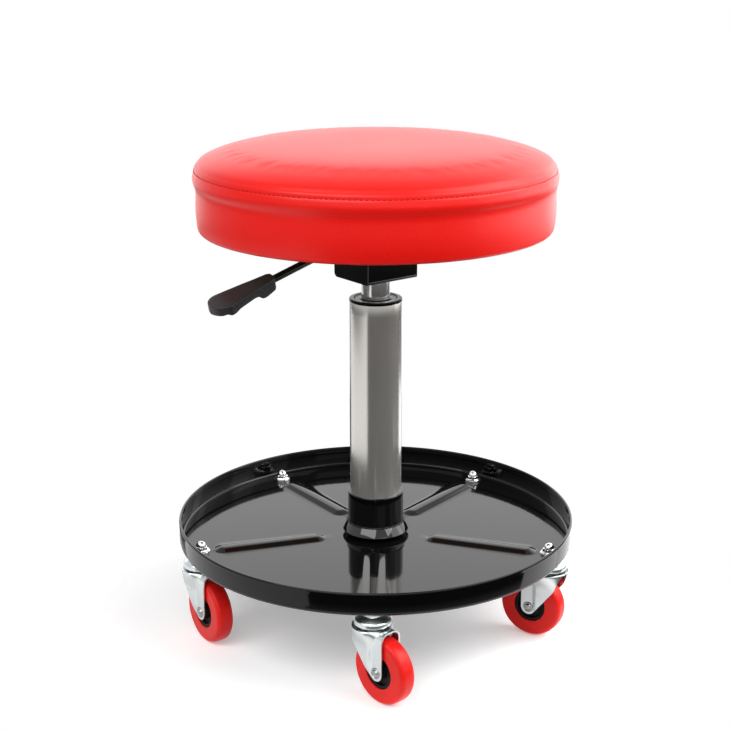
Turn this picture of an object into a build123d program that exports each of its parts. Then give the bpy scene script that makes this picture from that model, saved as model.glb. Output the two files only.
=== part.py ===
from build123d import *
import os
from math import cos, radians, sin, sqrt

# Rolling detailing stool with a gas-lift column, a round tray base and five swivel casters.
# Millimetres, +Z up. The origin is on the column axis at floor level, and the release
# lever points towards -X and -Y.

# Clearances shared by many pieces
running_gap = 0.05       # radial gap of a shaft in its bush
passing_gap = 0.3        # gap between faces that move past each other
rolling_gap = 0.1        # gap between a ball and the races above and below it
skin_gap = 0.2           # gap between the foam and the cover around it
cut_over = 2.0           # how far a cutting solid runs past the face that it cuts

# Casters
caster_count = 5
caster_ring_inset = 17.5         # each kingpin to the outside of the tray
first_caster_angle = 269.2       # degrees about Z, the caster nearest to the viewer
caster_headings = (-46.0, 149.0, 70.0, 15.0, -55.0)    # degrees, kingpin to axle, one for each caster
caster_trail = 15.0              # kingpin to axle, seen from above
wheel_radius = 31.0
wheel_width = 17.0
wheel_headroom = 8.0             # top of the wheel to the top of the fork's crown
tyre_edge_radius = 4.5
tyre_thickness = 15.0
hub_rim_width = 14.6
hub_rim_wall = 3.0
hub_web_width = 8.0
hub_boss_radius = 7.0
axle_radius = 3.0
axle_head_radius = 4.2
axle_head_height = 1.4
axle_head_round = 0.7
fork_sheet = 1.8
fork_wheel_gap = 1.2             # each side of the wheel
fork_crown_height = 14.0         # crown top to the underside of the tray
fork_edge_radius = 7.5           # rounded lower end of each leg, about the axle
fork_lead = 16.0                 # kingpin to the leading edge of the crown
fork_bend_radius = 8.0           # outside radius of the bend between crown and legs
fork_plate_radius = 17.0         # round seat of the race on the crown
fork_plate_depth = 4.5
fork_shoulder_drop = 19.0        # crown top to the knee of the leading edge
fork_shoulder_inset = 3.5        # how far the knee lies behind the leading edge
race_cup_radius = 16.0
race_neck_radius = 9.5
race_sheet = 1.5
race_lip_height = 6.0
race_ball_radius = 1.6
race_ball_ring_radius = 12.0
race_ball_count = 12
stem_radius = 4.0
stem_head_radius = 7.5
stem_head_height = 3.6

# Fasteners that hold the stems in the tray
washer_radius = 8.5
washer_thickness = 1.6
nut_across_flats = 13.0
nut_hex_height = 6.0
nut_dome_height = 5.0
nut_dome_radius = 6.0            # where the dome leaves the hexagon
stem_tip_rise = 1.2              # stem tip above the hexagon
nut_tip_gap = 1.0                # stem tip to the end of the bore

# Tray
tray_radius = 192.0
tray_sheet = 1.2
tray_wall_height = 22.5          # underside to the top of the rim
tray_bend_radius = 4.5
rim_thickness = 2.4
rim_height = 6.0
rim_round = 1.0
stem_hole_gap = 0.25
rib_width = 10.0
rib_height = 2.2
rib_start_gap = 24.0             # socket foot to the start of each rib
rib_end_gap = 17.5               # end of each rib to the kingpin
rib_draft = 35.0                 # degrees
service_hole_radius = 14.0       # hole under the column, through which the rod clip is reached

# Column
socket_radius = 27.0
socket_height = 43.6             # tray floor to the top of the socket
socket_foot_radius = 33.0
socket_foot_height = 9.0
socket_foot_round = 3.6
tube_radius = 25.0
tube_wall = 1.5
tube_length = 235.0
end_plate_rise = 5.0             # tray floor to the underside of the end plate
end_plate_thickness = 3.0
end_plate_hole_gap = 2.5
bush_flange_radius = 25.2
bush_flange_height = 2.8
bush_flange_round = 0.9
bush_length = 95.0
bush_land_length = 24.0
bush_wall = 2.2
bush_recess_radius = 20.6
wiper_radius = 19.8
wiper_thickness = 1.6
bush_recess_depth = 1.8

# Gas spring
cylinder_radius = 13.5
cylinder_wall = 1.6
cylinder_taper_length = 28.0
cylinder_taper_drop = 0.7
height_stroke = 120.0
rod_radius = 5.0
piston_height = 12.0
piston_start_gap = 26.0          # piston top to the valve body at the lowest setting
piston_groove_height = 3.0
piston_groove_depth = 2.0
bearing_outer_radius = 13.0
bearing_race_thickness = 2.0
bearing_ball_radius = 1.6
bearing_ball_count = 12
bump_radius = 11.0
bump_height = 10.0
rod_washer_radius = 10.0
rod_washer_thickness = 1.4
clip_radius = 7.5
clip_thickness = 1.2
clip_groove_depth = 0.8
clip_opening_angle = 80.0        # degrees
rod_tail = 1.4                   # rod end below the clip
guide_height = 14.0
guide_recess = 1.5               # cylinder bottom to the rod guide
seal_height = 4.0
valve_height = 26.0
release_pin_radius = 3.5
release_pin_length = 22.0
release_pin_dome_radius = 8.0

# Bracket and release lever
bracket_angle = 38.0             # degrees about Z, along the longer side of the box
bracket_length = 58.2
bracket_width = 52.0
bracket_depth = 46.3             # underside of the box to the underside of the plate
bracket_wall = 2.5
bracket_near_round = 2.0         # lower edge of the side nearest to the viewer
bracket_far_round = 4.5
bracket_clearance = 19.8         # collar top to the underside of the box at the lowest setting
taper_socket_wall = 3.5
plate_length = 150.0
plate_width = 130.0
plate_thickness = 2.5
plate_corner_radius = 12.0
lever_rod_radius = 3.5
lever_lift = 8.5                 # degrees
lever_arm = 20.0                 # pivot to the column axis
lever_drop = 9.6                 # underside of the plate to the centre of the rod
lever_tail = 7.0                 # rod end beyond the column axis
lever_bend_reach = 38.6          # column axis to the bend
lever_bend_radius = 18.0
lever_slope = 15.9               # degrees below level, outside the bend
lever_slot_width = 9.0
lever_slot_drop = 5.0            # slot floor below the rod centre
pivot_barrel_radius = 6.0
pivot_barrel_length = 18.0
pivot_pin_radius = 3.0
pivot_head_radius = 5.0
pivot_head_height = 1.5
grip_start_reach = 116.8         # column axis to the near end of the grip
grip_length = 68.0
grip_near_width = 12.4
grip_near_chamfer = 2.2
grip_far_radius = 13.5
grip_rise = 5.0                  # top of the grip above the rod centre
grip_depth = 7.6                 # lowest side of the grip below the rod centre
grip_near_lift = 3.6             # how much thinner the grip is at its near end
grip_near_length = 17.0
grip_roll = 10.0                 # degrees, the viewer's side hangs lower
grip_round = 1.6
grip_bore_depth = 36.0
finger_radius = 9.0
finger_depth = 2.0
finger_place_shares = (0.42, 0.64)    # of the grip's length, from its near end

# Seat
seat_board_setback = 5.2         # edge of the board to the seam, seen from above
seat_board_thickness = 12.0
cover_thickness = 1.2
seam_radius = 165.2
seam_height = 56.1               # cover underside to the seam
crown_height = 23.3              # seam to the top of the crown
crown_swell = 3.2                # how far the crown would stand out past the seam at seam height
crown_reach_power = 4            # of the superellipse that the crown follows, along the radius
crown_rise_power = 2             # of the same superellipse, along the height
crown_place_shares = (0.6, 0.72, 0.82, 0.9, 0.955, 0.98, 0.996)    # of the crown's radius
crown_edge_share = 0.75          # how full the crown's edge is between its last place and the seam
roll_swell = 3.2                 # how far the roll under the seam stands out past it
roll_height = 16.0               # seam to the drawn-in line under the roll
waist_swell = 1.1                # drawn-in line, past the seam
belly_swell = 1.3                # side of the band at its middle, past the seam
corner_swell = 0.1               # foot of the band just above the lower corner, past the seam
band_corner_radius = 4.5
hem_width = 26.0                 # vinyl turned in under the board
staple_count = 24
staple_length = 10.0
staple_wire = 0.7
staple_leg = 7.0
screw_place_length = 120.0       # along the plate
screw_place_width = 100.0
screw_radius = 3.0
screw_head_radius = 5.5
screw_head_height = 3.0
screw_tip_depth = 1.5            # screw tip below the top of the board
tee_radius = 4.2
tee_flange_radius = 9.0
tee_flange_thickness = 1.5

# Heights that follow from the sizes above
crown_top = 2 * wheel_radius + wheel_headroom
crown_underside = crown_top - fork_sheet
caster_height = crown_top + fork_crown_height    # floor to the underside of the tray
floor_top = caster_height + tray_sheet
rim_top = caster_height + tray_wall_height
tube_top = floor_top + tube_length
collar_top = tube_top + bush_flange_height
box_underside = collar_top + bracket_clearance
plate_underside = box_underside + bracket_depth
board_underside = plate_underside + plate_thickness
board_top = board_underside + seat_board_thickness
cover_underside = board_underside - cover_thickness
seam_z = cover_underside + seam_height
end_plate_top = floor_top + end_plate_rise + end_plate_thickness
bearing_ball_z = end_plate_top + bearing_race_thickness + rolling_gap + bearing_ball_radius
upper_race_low = bearing_ball_z + bearing_ball_radius + rolling_gap
bump_low = upper_race_low + bearing_race_thickness
cylinder_low = bump_low + bump_height + passing_gap
cylinder_top = box_underside + cylinder_taper_length
rod_centre_z = plate_underside - lever_drop
pin_top = rod_centre_z - lever_rod_radius - passing_gap
valve_low = cylinder_top - valve_height
piston_top = valve_low - piston_start_gap
bore_radius = cylinder_radius - cylinder_wall
tube_bore_radius = tube_radius - tube_wall

nut_hex_top = floor_top + washer_thickness + nut_hex_height
stem_tip = nut_hex_top + stem_tip_rise
waist_z = seam_z - roll_height
band_foot_z = cover_underside + band_corner_radius
pin_travel = lever_arm * radians(lever_lift)

# Sideways places that follow
tray_floor_radius = tray_radius - tray_bend_radius
caster_ring_radius = tray_radius - caster_ring_inset
rib_start_radius = socket_foot_radius + rib_start_gap
rib_end_radius = caster_ring_radius - rib_end_gap
seat_board_radius = seam_radius - seat_board_setback
fork_inner_half = wheel_width / 2 + fork_wheel_gap
fork_outer_half = fork_inner_half + fork_sheet
lever_angle = bracket_angle + 180
caster_angles = [first_caster_angle + 360 * index / caster_count for index in range(caster_count)]
caster_places = [
    Rot(0, 0, angle) * Pos(caster_ring_radius, 0, 0) * Rot(0, 0, heading - angle)
    for angle, heading in zip(caster_angles, caster_headings)
]


def turned(*points):
    """A closed outline of (radius, height) points, revolved about Z."""
    outline = Polyline(*[(radius, 0, height) for radius, height in points], close=True)
    return revolve(make_face(outline), axis=Axis.Z)


def ring(outer, inner, low, high):
    """A plain ring about Z between two heights."""
    return turned((inner, low), (outer, low), (outer, high), (inner, high))


def disc(radius, low, high):
    """A plain round bar about Z between two heights."""
    return Pos(0, 0, low) * extrude(Circle(radius), amount=high - low)


def ball_ring(ball_radius, ring_radius, count, height):
    """Separate balls in a ring about Z."""
    places = PolarLocations(ring_radius, count)
    return [Pos(0, 0, height) * place * Sphere(ball_radius) for place in places]


def widest_edges(solid, count):
    """The circular edges of a turned solid that have the largest radius."""
    return solid.edges().filter_by(GeomType.CIRCLE).sort_by(SortBy.RADIUS)[-count:]


def at_each_caster(*pieces):
    """A copy of the pieces at every kingpin, each copy turned to its caster's heading."""
    return [place * piece for place in caster_places for piece in pieces]


# Tray and column

def tray_rim():
    """The dish's wall from the bend at its floor up to the folded rim."""
    inner_radius = tray_radius - tray_sheet
    rim_low = rim_top - rim_height
    rim_inner = tray_radius - rim_thickness
    mid = sqrt(0.5)
    bend_inside = tray_bend_radius - tray_sheet
    bend_z = caster_height + tray_bend_radius
    outline = (
        ThreePointArc(
            (tray_floor_radius, 0, caster_height),
            (tray_floor_radius + mid * tray_bend_radius, 0, bend_z - mid * tray_bend_radius),
            (tray_radius, 0, bend_z),
        )
        + Polyline(
            (tray_radius, 0, bend_z),
            (tray_radius, 0, rim_top),
            (rim_inner, 0, rim_top),
            (rim_inner, 0, rim_low),
            (inner_radius, 0, rim_low - rim_thickness + tray_sheet),
            (inner_radius, 0, bend_z),
        )
        + ThreePointArc(
            (inner_radius, 0, bend_z),
            (tray_floor_radius + mid * bend_inside, 0, bend_z - mid * bend_inside),
            (tray_floor_radius, 0, floor_top),
        )
        + Line((tray_floor_radius, 0, floor_top), (tray_floor_radius, 0, caster_height))
    )
    wall = revolve(make_face(outline), axis=Axis.Z)
    rim_edges = wall.edges().filter_by(GeomType.CIRCLE).group_by(Axis.Z)[-1]
    return fillet(rim_edges, rim_round)


def rib_ridge(angle, low):
    """The raised ridge of one rib, with sloping sides and round ends."""
    middle = (rib_start_radius + rib_end_radius) / 2
    outline = SlotOverall(rib_end_radius - rib_start_radius, rib_width)
    ridge = extrude(outline, amount=rib_height, taper=rib_draft)
    return Rot(0, 0, angle) * Pos(middle, 0, low) * ridge


def tray_floor():
    """The dish's flat floor, pressed into a rib towards each caster."""
    body = ring(tray_floor_radius, service_hole_radius, caster_height, floor_top)
    for angle in caster_angles:
        body += rib_ridge(angle, floor_top)
        body -= rib_ridge(angle, caster_height)
    for place in caster_places:
        body -= place * disc(stem_radius + stem_hole_gap, caster_height - cut_over, floor_top + cut_over)
    return body


def column_socket():
    """The welded socket with its flared foot."""
    foot_top = floor_top + socket_foot_height
    body = turned(
        (tube_radius, floor_top),
        (socket_foot_radius, floor_top),
        (socket_foot_radius, foot_top),
        (socket_radius, foot_top),
        (socket_radius, floor_top + socket_height),
        (tube_radius, floor_top + socket_height),
    )
    return fillet(widest_edges(body, 2), socket_foot_round)


def outer_tube():
    return ring(tube_radius, tube_bore_radius, floor_top, tube_top)


def tube_end_plate():
    """The plate across the bottom of the tube that carries the gas spring."""
    hole_radius = rod_radius + end_plate_hole_gap
    return ring(tube_bore_radius, hole_radius, floor_top + end_plate_rise, end_plate_top)


def guide_bush():
    """The moulded bush that guides the cylinder, with the collar on top of the tube."""
    bore = cylinder_radius + running_gap
    low = tube_top - bush_length
    sleeve = bore + bush_wall
    recess_floor = collar_top - bush_recess_depth
    body = turned(
        (bore, low),
        (tube_bore_radius, low),
        (tube_bore_radius, low + bush_land_length),
        (sleeve, low + bush_land_length),
        (sleeve, tube_top - bush_land_length),
        (tube_bore_radius, tube_top - bush_land_length),
        (tube_bore_radius, tube_top),
        (bush_flange_radius, tube_top),
        (bush_flange_radius, collar_top),
        (bush_recess_radius, collar_top),
        (bush_recess_radius, recess_floor),
        (bore, recess_floor),
    )
    return fillet(widest_edges(body, 2), bush_flange_round)


def wiper_ring():
    low = collar_top - bush_recess_depth
    return ring(wiper_radius, cylinder_radius + running_gap, low, low + wiper_thickness)


# Gas spring

def thrust_lower_race():
    return ring(bearing_outer_radius, rod_radius + end_plate_hole_gap,
                end_plate_top, end_plate_top + bearing_race_thickness)


def thrust_balls():
    ring_radius = (bearing_outer_radius + rod_radius + end_plate_hole_gap) / 2
    return ball_ring(bearing_ball_radius, ring_radius, bearing_ball_count, bearing_ball_z)


def thrust_upper_race():
    return ring(bearing_outer_radius, rod_radius, upper_race_low, bump_low)


def bump_stop():
    return ring(bump_radius, rod_radius, bump_low, bump_low + bump_height)


def rod_washer():
    high = floor_top + end_plate_rise - passing_gap
    return ring(rod_washer_radius, rod_radius, high - rod_washer_thickness, high)


def rod_clip():
    """The open spring clip in the groove near the rod's end."""
    high = floor_top + end_plate_rise - passing_gap - rod_washer_thickness
    body = ring(clip_radius, rod_radius - clip_groove_depth, high - clip_thickness, high)
    half = radians(clip_opening_angle / 2)
    reach = clip_radius + cut_over
    gap = Polyline((0, 0), (reach, reach * sin(half) / cos(half)), (reach, -reach * sin(half) / cos(half)),
                   close=True)
    return body - Pos(0, 0, high - clip_thickness - cut_over) * extrude(
        make_face(gap), amount=clip_thickness + 2 * cut_over)


def piston_rod():
    clip_high = floor_top + end_plate_rise - passing_gap - rod_washer_thickness
    clip_low = clip_high - clip_thickness
    body = disc(rod_radius, clip_low - rod_tail, piston_top)
    return body - ring(rod_radius + cut_over, rod_radius - clip_groove_depth, clip_low, clip_high)


def piston_groove():
    """The heights between which the piston ring sits."""
    middle = piston_top - piston_height / 2
    return middle - piston_groove_height / 2, middle + piston_groove_height / 2


def piston():
    outer = bore_radius - passing_gap
    low, high = piston_groove()
    body = ring(outer, rod_radius, piston_top - piston_height, piston_top)
    return body - ring(bore_radius, outer - piston_groove_depth, low, high)


def piston_ring():
    low, high = piston_groove()
    return ring(bore_radius - running_gap, bore_radius - passing_gap - piston_groove_depth, low, high)


def pressure_tube():
    """The cylinder, with a plain bore and a slightly tapered top."""
    tip_radius = cylinder_radius - cylinder_taper_drop
    return turned(
        (bore_radius, cylinder_low),
        (cylinder_radius, cylinder_low),
        (cylinder_radius, box_underside),
        (tip_radius, cylinder_top),
        (bore_radius, cylinder_top),
    )


def rod_guide():
    low = cylinder_low + guide_recess
    return ring(bore_radius, rod_radius + running_gap, low, low + guide_height)


def rod_seal():
    low = cylinder_low + guide_recess + guide_height
    return ring(bore_radius, rod_radius + running_gap, low, low + seal_height)


def valve_body():
    """The plug in the top of the cylinder, with the bore in which the release pin slides."""
    pin_low = pin_top - release_pin_length
    bore = disc(release_pin_radius + running_gap, pin_low - pin_travel - passing_gap, cylinder_top + cut_over)
    return disc(bore_radius, valve_low, cylinder_top) - bore


def release_pin():
    """The push pin with its domed top."""
    dome = Pos(0, 0, pin_top - release_pin_dome_radius) * Sphere(release_pin_dome_radius)
    blank = disc(release_pin_radius, pin_top - release_pin_length, pin_top)
    shank = disc(release_pin_radius, pin_top - release_pin_length, pin_top - release_pin_radius)
    return shank + (blank & dome)


# Bracket and release lever

def taper_socket():
    """The tapered socket in the box that the cylinder is pressed into."""
    tip_radius = cylinder_radius - cylinder_taper_drop
    outer = cylinder_radius + taper_socket_wall
    return turned(
        (cylinder_radius, box_underside),
        (outer, box_underside),
        (outer, cylinder_top),
        (tip_radius, cylinder_top),
    )


def bracket_block(inset, near_round, far_round, high):
    """A block in the shape of the box, with its lower long edges rounded."""
    low = box_underside + inset
    length = bracket_length - 2 * inset
    width = bracket_width - 2 * inset
    block = Pos(0, 0, low) * Box(length, width, high - low, align=(Align.CENTER, Align.CENTER, Align.MIN))
    lower = block.edges().filter_by(Axis.X).group_by(Axis.Z)[0].sort_by(Axis.Y)
    if near_round > 0:
        block = fillet(lower[0], near_round)
        lower = block.edges().filter_by(Axis.X).group_by(Axis.Z)[0].sort_by(Axis.Y)
    return fillet(lower[-1], far_round)


def bracket_box():
    """The open-topped box, with the holes for the socket and the pivot pin and the slot for the lever."""
    body = bracket_block(0, bracket_near_round, bracket_far_round, plate_underside)
    body -= bracket_block(bracket_wall, 0, bracket_far_round - bracket_wall, plate_underside + cut_over)
    body -= disc(cylinder_radius + taper_socket_wall, box_underside - cut_over, cylinder_top)
    pin_place = Pos(-lever_arm, 0, rod_centre_z)
    body -= pin_place * Rot(90, 0, 0) * Cylinder(pivot_pin_radius, bracket_width + cut_over)
    slot_low = rod_centre_z - lever_slot_drop
    slot = Box(bracket_wall + 2 * cut_over, lever_slot_width, plate_underside + cut_over - slot_low,
               align=(Align.CENTER, Align.CENTER, Align.MIN))
    body -= Pos(-(bracket_length - bracket_wall) / 2, 0, slot_low) * slot
    return Rot(0, 0, bracket_angle) * body


def screw_places():
    """The four screw axes in the bracket's own directions."""
    corners = GridLocations(screw_place_length, screw_place_width, 2, 2)
    return [Rot(0, 0, bracket_angle) * corner for corner in corners]


def bracket_plate():
    outline = RectangleRounded(plate_length, plate_width, plate_corner_radius)
    body = Rot(0, 0, bracket_angle) * Pos(0, 0, plate_underside) * extrude(outline, amount=plate_thickness)
    for place in screw_places():
        body -= place * disc(screw_radius + passing_gap, plate_underside - cut_over, board_underside + cut_over)
    return body


def lever_pivot_pin():
    half = bracket_width / 2
    shank = Rot(90, 0, 0) * Cylinder(pivot_pin_radius, bracket_width)
    head = Rot(90, 0, 0) * Cylinder(pivot_head_radius, pivot_head_height)
    reach = half + pivot_head_height / 2
    body = shank + Pos(0, reach, 0) * head + Pos(0, -reach, 0) * head
    return Rot(0, 0, bracket_angle) * Pos(-lever_arm, 0, rod_centre_z) * body


def grip_frame():
    """The near end of the grip on the rod's axis, with X along the rod and away from the column."""
    drop = (grip_start_reach - lever_bend_reach) * sin(radians(lever_slope)) / cos(radians(lever_slope))
    return Pos(grip_start_reach, 0, rod_centre_z - drop) * Rot(0, lever_slope, 0)


def lever_rod():
    """The bent round rod and the barrel that turns on the pivot pin."""
    start = (-lever_tail, 0, rod_centre_z)
    bend = (lever_bend_reach, 0, rod_centre_z)
    tip = (grip_frame() * Pos(grip_bore_depth, 0, 0)).position
    path = FilletPolyline(start, bend, tip, radius=lever_bend_radius)
    rod = sweep(Plane(origin=start, z_dir=(1, 0, 0)) * Circle(lever_rod_radius), path=path)
    pivot = Pos(lever_arm, 0, rod_centre_z) * Rot(90, 0, 0)
    body = rod + pivot * Cylinder(pivot_barrel_radius, pivot_barrel_length)
    body -= pivot * Cylinder(pivot_pin_radius + running_gap, pivot_barrel_length + cut_over)
    return Rot(0, 0, lever_angle) * body


def grip_outline():
    """The grip seen from above: a narrow cut-off near end that widens to a round far end."""
    half = grip_near_width / 2
    nose = Polyline((0, half - grip_near_chamfer), (grip_near_chamfer, half), (grip_near_chamfer, -half),
                    (0, grip_near_chamfer - half), close=True)
    far = Pos(grip_length - grip_far_radius, 0) * Circle(grip_far_radius)
    return make_hull(nose.edges() + far.edges())


def lever_grip():
    """The moulded grip, thinner at its near end, with finger recesses underneath."""
    low = -grip_depth
    body = Pos(0, 0, low) * extrude(grip_outline(), amount=grip_rise + grip_depth)
    wedge = Polyline((-cut_over, 0, low - cut_over), (-cut_over, 0, low + grip_near_lift),
                     (0, 0, low + grip_near_lift), (grip_near_length, 0, low),
                     (grip_near_length, 0, low - cut_over), close=True)
    body -= extrude(make_face(wedge), amount=2 * grip_far_radius, both=True)
    body = fillet(body.edges().group_by(Axis.Z)[-1], grip_round)
    for share in finger_place_shares:
        finger = Rot(90, 0, 0) * Cylinder(finger_radius, 4 * grip_far_radius)
        body -= Pos(share * grip_length, 0, low + finger_depth - finger_radius) * finger
    body = Rot(-grip_roll, 0, 0) * body
    bore = Cylinder(lever_rod_radius, grip_bore_depth + cut_over, align=(Align.CENTER, Align.CENTER, Align.MAX))
    body -= Pos(grip_bore_depth, 0, 0) * Rot(0, 90, 0) * bore
    return Rot(0, 0, lever_angle) * grip_frame() * body


# Seat

def crown_points(inset):
    """Points on the crown, on a surface that lies inset below the cover's."""
    reach = seam_radius + crown_swell - inset
    rise = crown_height - inset
    return [
        (share * reach, 0, seam_z + rise * (1 - share ** crown_reach_power) ** (1 / crown_rise_power))
        for share in crown_place_shares
    ]


def crown_curve(inset):
    """The crown's outline in arcs, from its top to the seam."""
    top_z = seam_z + crown_height - inset
    points = crown_points(inset)
    cap_reach, _, cap_z = points[0]
    cap_drop = top_z - cap_z
    cap_radius = (cap_reach ** 2 + cap_drop ** 2) / (2 * cap_drop)
    cap_middle_z = top_z - cap_radius + sqrt(cap_radius ** 2 - cap_reach ** 2 / 4)
    curve = ThreePointArc((0, 0, top_z), (cap_reach / 2, 0, cap_middle_z), points[0])
    for start in range(0, len(points) - 1, 2):
        curve += ThreePointArc(*points[start:start + 3])
    seam = (seam_radius - inset, 0, seam_z)
    edge_reach, _, edge_z = points[-1]
    middle = (seam[0] + crown_edge_share * (edge_reach - seam[0]), 0, (edge_z + seam_z) / 2)
    return curve + ThreePointArc(points[-1], middle, seam)


def band_curve(inset):
    """The band's outline in two arcs: the roll under the seam, then the side down to its foot."""
    waist = (seam_radius + waist_swell - inset, 0, waist_z)
    roll = ThreePointArc((seam_radius - inset, 0, seam_z),
                         (seam_radius + roll_swell - inset, 0, (seam_z + waist_z) / 2), waist)
    side = ThreePointArc(waist, (seam_radius + belly_swell - inset, 0, (waist_z + band_foot_z) / 2),
                         (seam_radius + corner_swell - inset, 0, band_foot_z))
    return roll + side


def seat_cover_top():
    """The top panel of the cover, from the seam over the crown."""
    outer = crown_curve(0)
    inner = crown_curve(cover_thickness)
    outline = outer + Line(outer @ 1, inner @ 1) + inner + Line(inner @ 0, outer @ 0)
    return revolve(make_face(outline), axis=Axis.Z)


def corner_arc(inset):
    """The lower corner of the cover, from the foot of the band to the underside."""
    radius = band_corner_radius - inset
    centre = seam_radius + corner_swell - band_corner_radius
    mid = sqrt(0.5) * radius
    return ThreePointArc((centre + radius, 0, band_foot_z), (centre + mid, 0, band_foot_z - mid),
                         (centre, 0, band_foot_z - radius))


def seat_cover_band():
    """The side panel of the cover, turned in under the board."""
    outer = band_curve(0)
    outer_corner = corner_arc(0)
    inner = band_curve(cover_thickness)
    inner_corner = corner_arc(cover_thickness)
    hem_radius = seam_radius - hem_width
    outline = (
        outer + outer_corner
        + Polyline(outer_corner @ 1, (hem_radius, 0, cover_underside), (hem_radius, 0, board_underside),
                   inner_corner @ 1)
        + inner_corner + inner + Line(inner @ 0, outer @ 0)
    )
    band = revolve(make_face(outline), axis=Axis.Z)
    return band - staples()


def seat_foam():
    """The foam on the board, with a thin skirt down the board's side."""
    inset = cover_thickness + skin_gap
    crown = crown_curve(inset)
    band = band_curve(inset)
    skirt = seat_board_radius + skin_gap
    base = board_top + skin_gap
    outline = (
        crown + band
        + Polyline(band @ 1, (skirt, 0, band_foot_z), (skirt, 0, base), (0, 0, base), crown @ 0)
    )
    return revolve(make_face(outline), axis=Axis.Z)


def staples():
    """Wire staples through the turned-in cover into the board."""
    radius = (seam_radius - hem_width + seat_board_radius) / 2
    centred = (Align.CENTER, Align.CENTER)
    back = Pos(0, 0, cover_underside) * Box(staple_wire, staple_length, staple_wire, align=(*centred, Align.MAX))
    leg = Box(staple_wire, staple_wire, staple_leg, align=(*centred, Align.MIN))
    reach = (staple_length - staple_wire) / 2
    staple = back + Pos(0, reach, cover_underside) * leg + Pos(0, -reach, cover_underside) * leg
    return [place * staple for place in PolarLocations(radius, staple_count)]


def seat_board():
    """The plywood disc, bored for the tee nuts and the staples."""
    body = disc(seat_board_radius, board_underside, board_top)
    for place in screw_places():
        body -= place * disc(tee_radius, board_underside - cut_over, board_top + cut_over)
        body -= place * disc(tee_flange_radius, board_top - tee_flange_thickness, board_top + cut_over)
    return body - staples()


def tee_nuts():
    flange_low = board_top - tee_flange_thickness
    nut = disc(tee_radius, board_underside + tee_flange_thickness, board_top)
    nut += disc(tee_flange_radius, flange_low, board_top)
    nut -= disc(screw_radius, board_underside - cut_over, board_top + cut_over)
    return [place * nut for place in screw_places()]


def seat_screws():
    screw = disc(screw_radius, plate_underside, board_top - screw_tip_depth)
    screw += disc(screw_head_radius, plate_underside - screw_head_height, plate_underside)
    return [place * screw for place in screw_places()]


# Casters

def caster_stem():
    """The bolt that holds the fork, its head under the crown and its tip in the dome nut."""
    head_high = crown_underside - passing_gap
    return disc(stem_radius, head_high - stem_head_height, stem_tip) + disc(
        stem_head_radius, head_high - stem_head_height, head_high)


def caster_race():
    """The cupped race under the tray, which the balls run against."""
    lip_low = crown_top + race_ball_radius + rolling_gap
    ball_high = lip_low + race_ball_radius + rolling_gap
    inner = race_cup_radius - race_sheet
    return turned(
        (stem_radius, ball_high),
        (inner, ball_high),
        (inner, lip_low),
        (race_cup_radius, lip_low),
        (race_cup_radius, lip_low + race_lip_height),
        (race_neck_radius, caster_height),
        (stem_radius, caster_height),
    )


def swivel_balls():
    height = crown_top + race_ball_radius + rolling_gap
    return ball_ring(race_ball_radius, race_ball_ring_radius, race_ball_count, height)


def nut_washer():
    return ring(washer_radius, stem_radius, floor_top, floor_top + washer_thickness)


def dome_nut():
    """A hexagon nut closed by a dome."""
    low = floor_top + washer_thickness
    hexagon = extrude(RegularPolygon(nut_across_flats / 2, 6, major_radius=False), amount=nut_hex_height)
    sphere_radius = (nut_dome_radius ** 2 + nut_dome_height ** 2) / (2 * nut_dome_height)
    dome_top = nut_hex_top + nut_dome_height
    dome = Pos(0, 0, dome_top - sphere_radius) * Sphere(sphere_radius)
    dome &= disc(nut_dome_radius, nut_hex_top, dome_top)
    corner_radius = nut_across_flats / 2 / cos(radians(30))
    chamfer_drop = corner_radius - nut_across_flats / 2
    trim = turned((0, low), (corner_radius, low), (corner_radius, nut_hex_top - chamfer_drop),
                  (nut_across_flats / 2, nut_hex_top), (0, nut_hex_top))
    body = (Pos(0, 0, low) * hexagon & trim) + dome
    return body - disc(stem_radius, low - cut_over, stem_tip + nut_tip_gap)


def fork_channel(half, high, bend):
    """A solid bar with rounded upper edges along the fork's heading."""
    low = wheel_radius - fork_edge_radius
    section = Pos(0, (low + high) / 2) * Rectangle(2 * half, high - low)
    section = fillet(section.vertices().group_by(Axis.Y)[-1], bend)
    length = fork_lead + caster_trail + fork_edge_radius
    return Pos(-fork_lead, 0, 0) * extrude(Plane.YZ * section, amount=length)


def fork_side():
    """The side view of the fork: an upright trailing edge and a slanted leading edge."""
    tail = caster_trail + fork_edge_radius
    blade = Polyline((-fork_lead, crown_top), (tail, crown_top), (tail, crown_top - fork_shoulder_drop),
                     (fork_shoulder_inset - fork_lead, crown_top - fork_shoulder_drop), close=True)
    foot = Pos(caster_trail, wheel_radius) * Circle(fork_edge_radius)
    outline = make_hull(blade.edges() + foot.edges())
    return extrude(Plane.XZ * outline, amount=fork_outer_half, both=True)


def caster_fork():
    """The pressed fork: two legs, a crown, and the round seat of the race on the crown."""
    body = fork_channel(fork_outer_half, crown_top, fork_bend_radius) & fork_side()
    seat_low = crown_top - fork_plate_depth
    body += disc(fork_plate_radius, seat_low, crown_top)
    body -= disc(fork_plate_radius - fork_sheet, seat_low - cut_over, crown_underside) & Box(
        4 * fork_plate_radius, 2 * fork_outer_half, 4 * caster_height)
    body -= fork_channel(fork_inner_half, crown_underside, fork_bend_radius - fork_sheet)
    body -= disc(stem_radius + running_gap, seat_low - cut_over, crown_top + cut_over)
    axle_hole = Rot(90, 0, 0) * Cylinder(axle_radius, 2 * fork_outer_half + cut_over)
    return body - Pos(caster_trail, 0, wheel_radius) * axle_hole


def at_axle(piece):
    """A piece turned about Z, laid on the axle."""
    return Pos(caster_trail, 0, wheel_radius) * Rot(90, 0, 0) * piece


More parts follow.
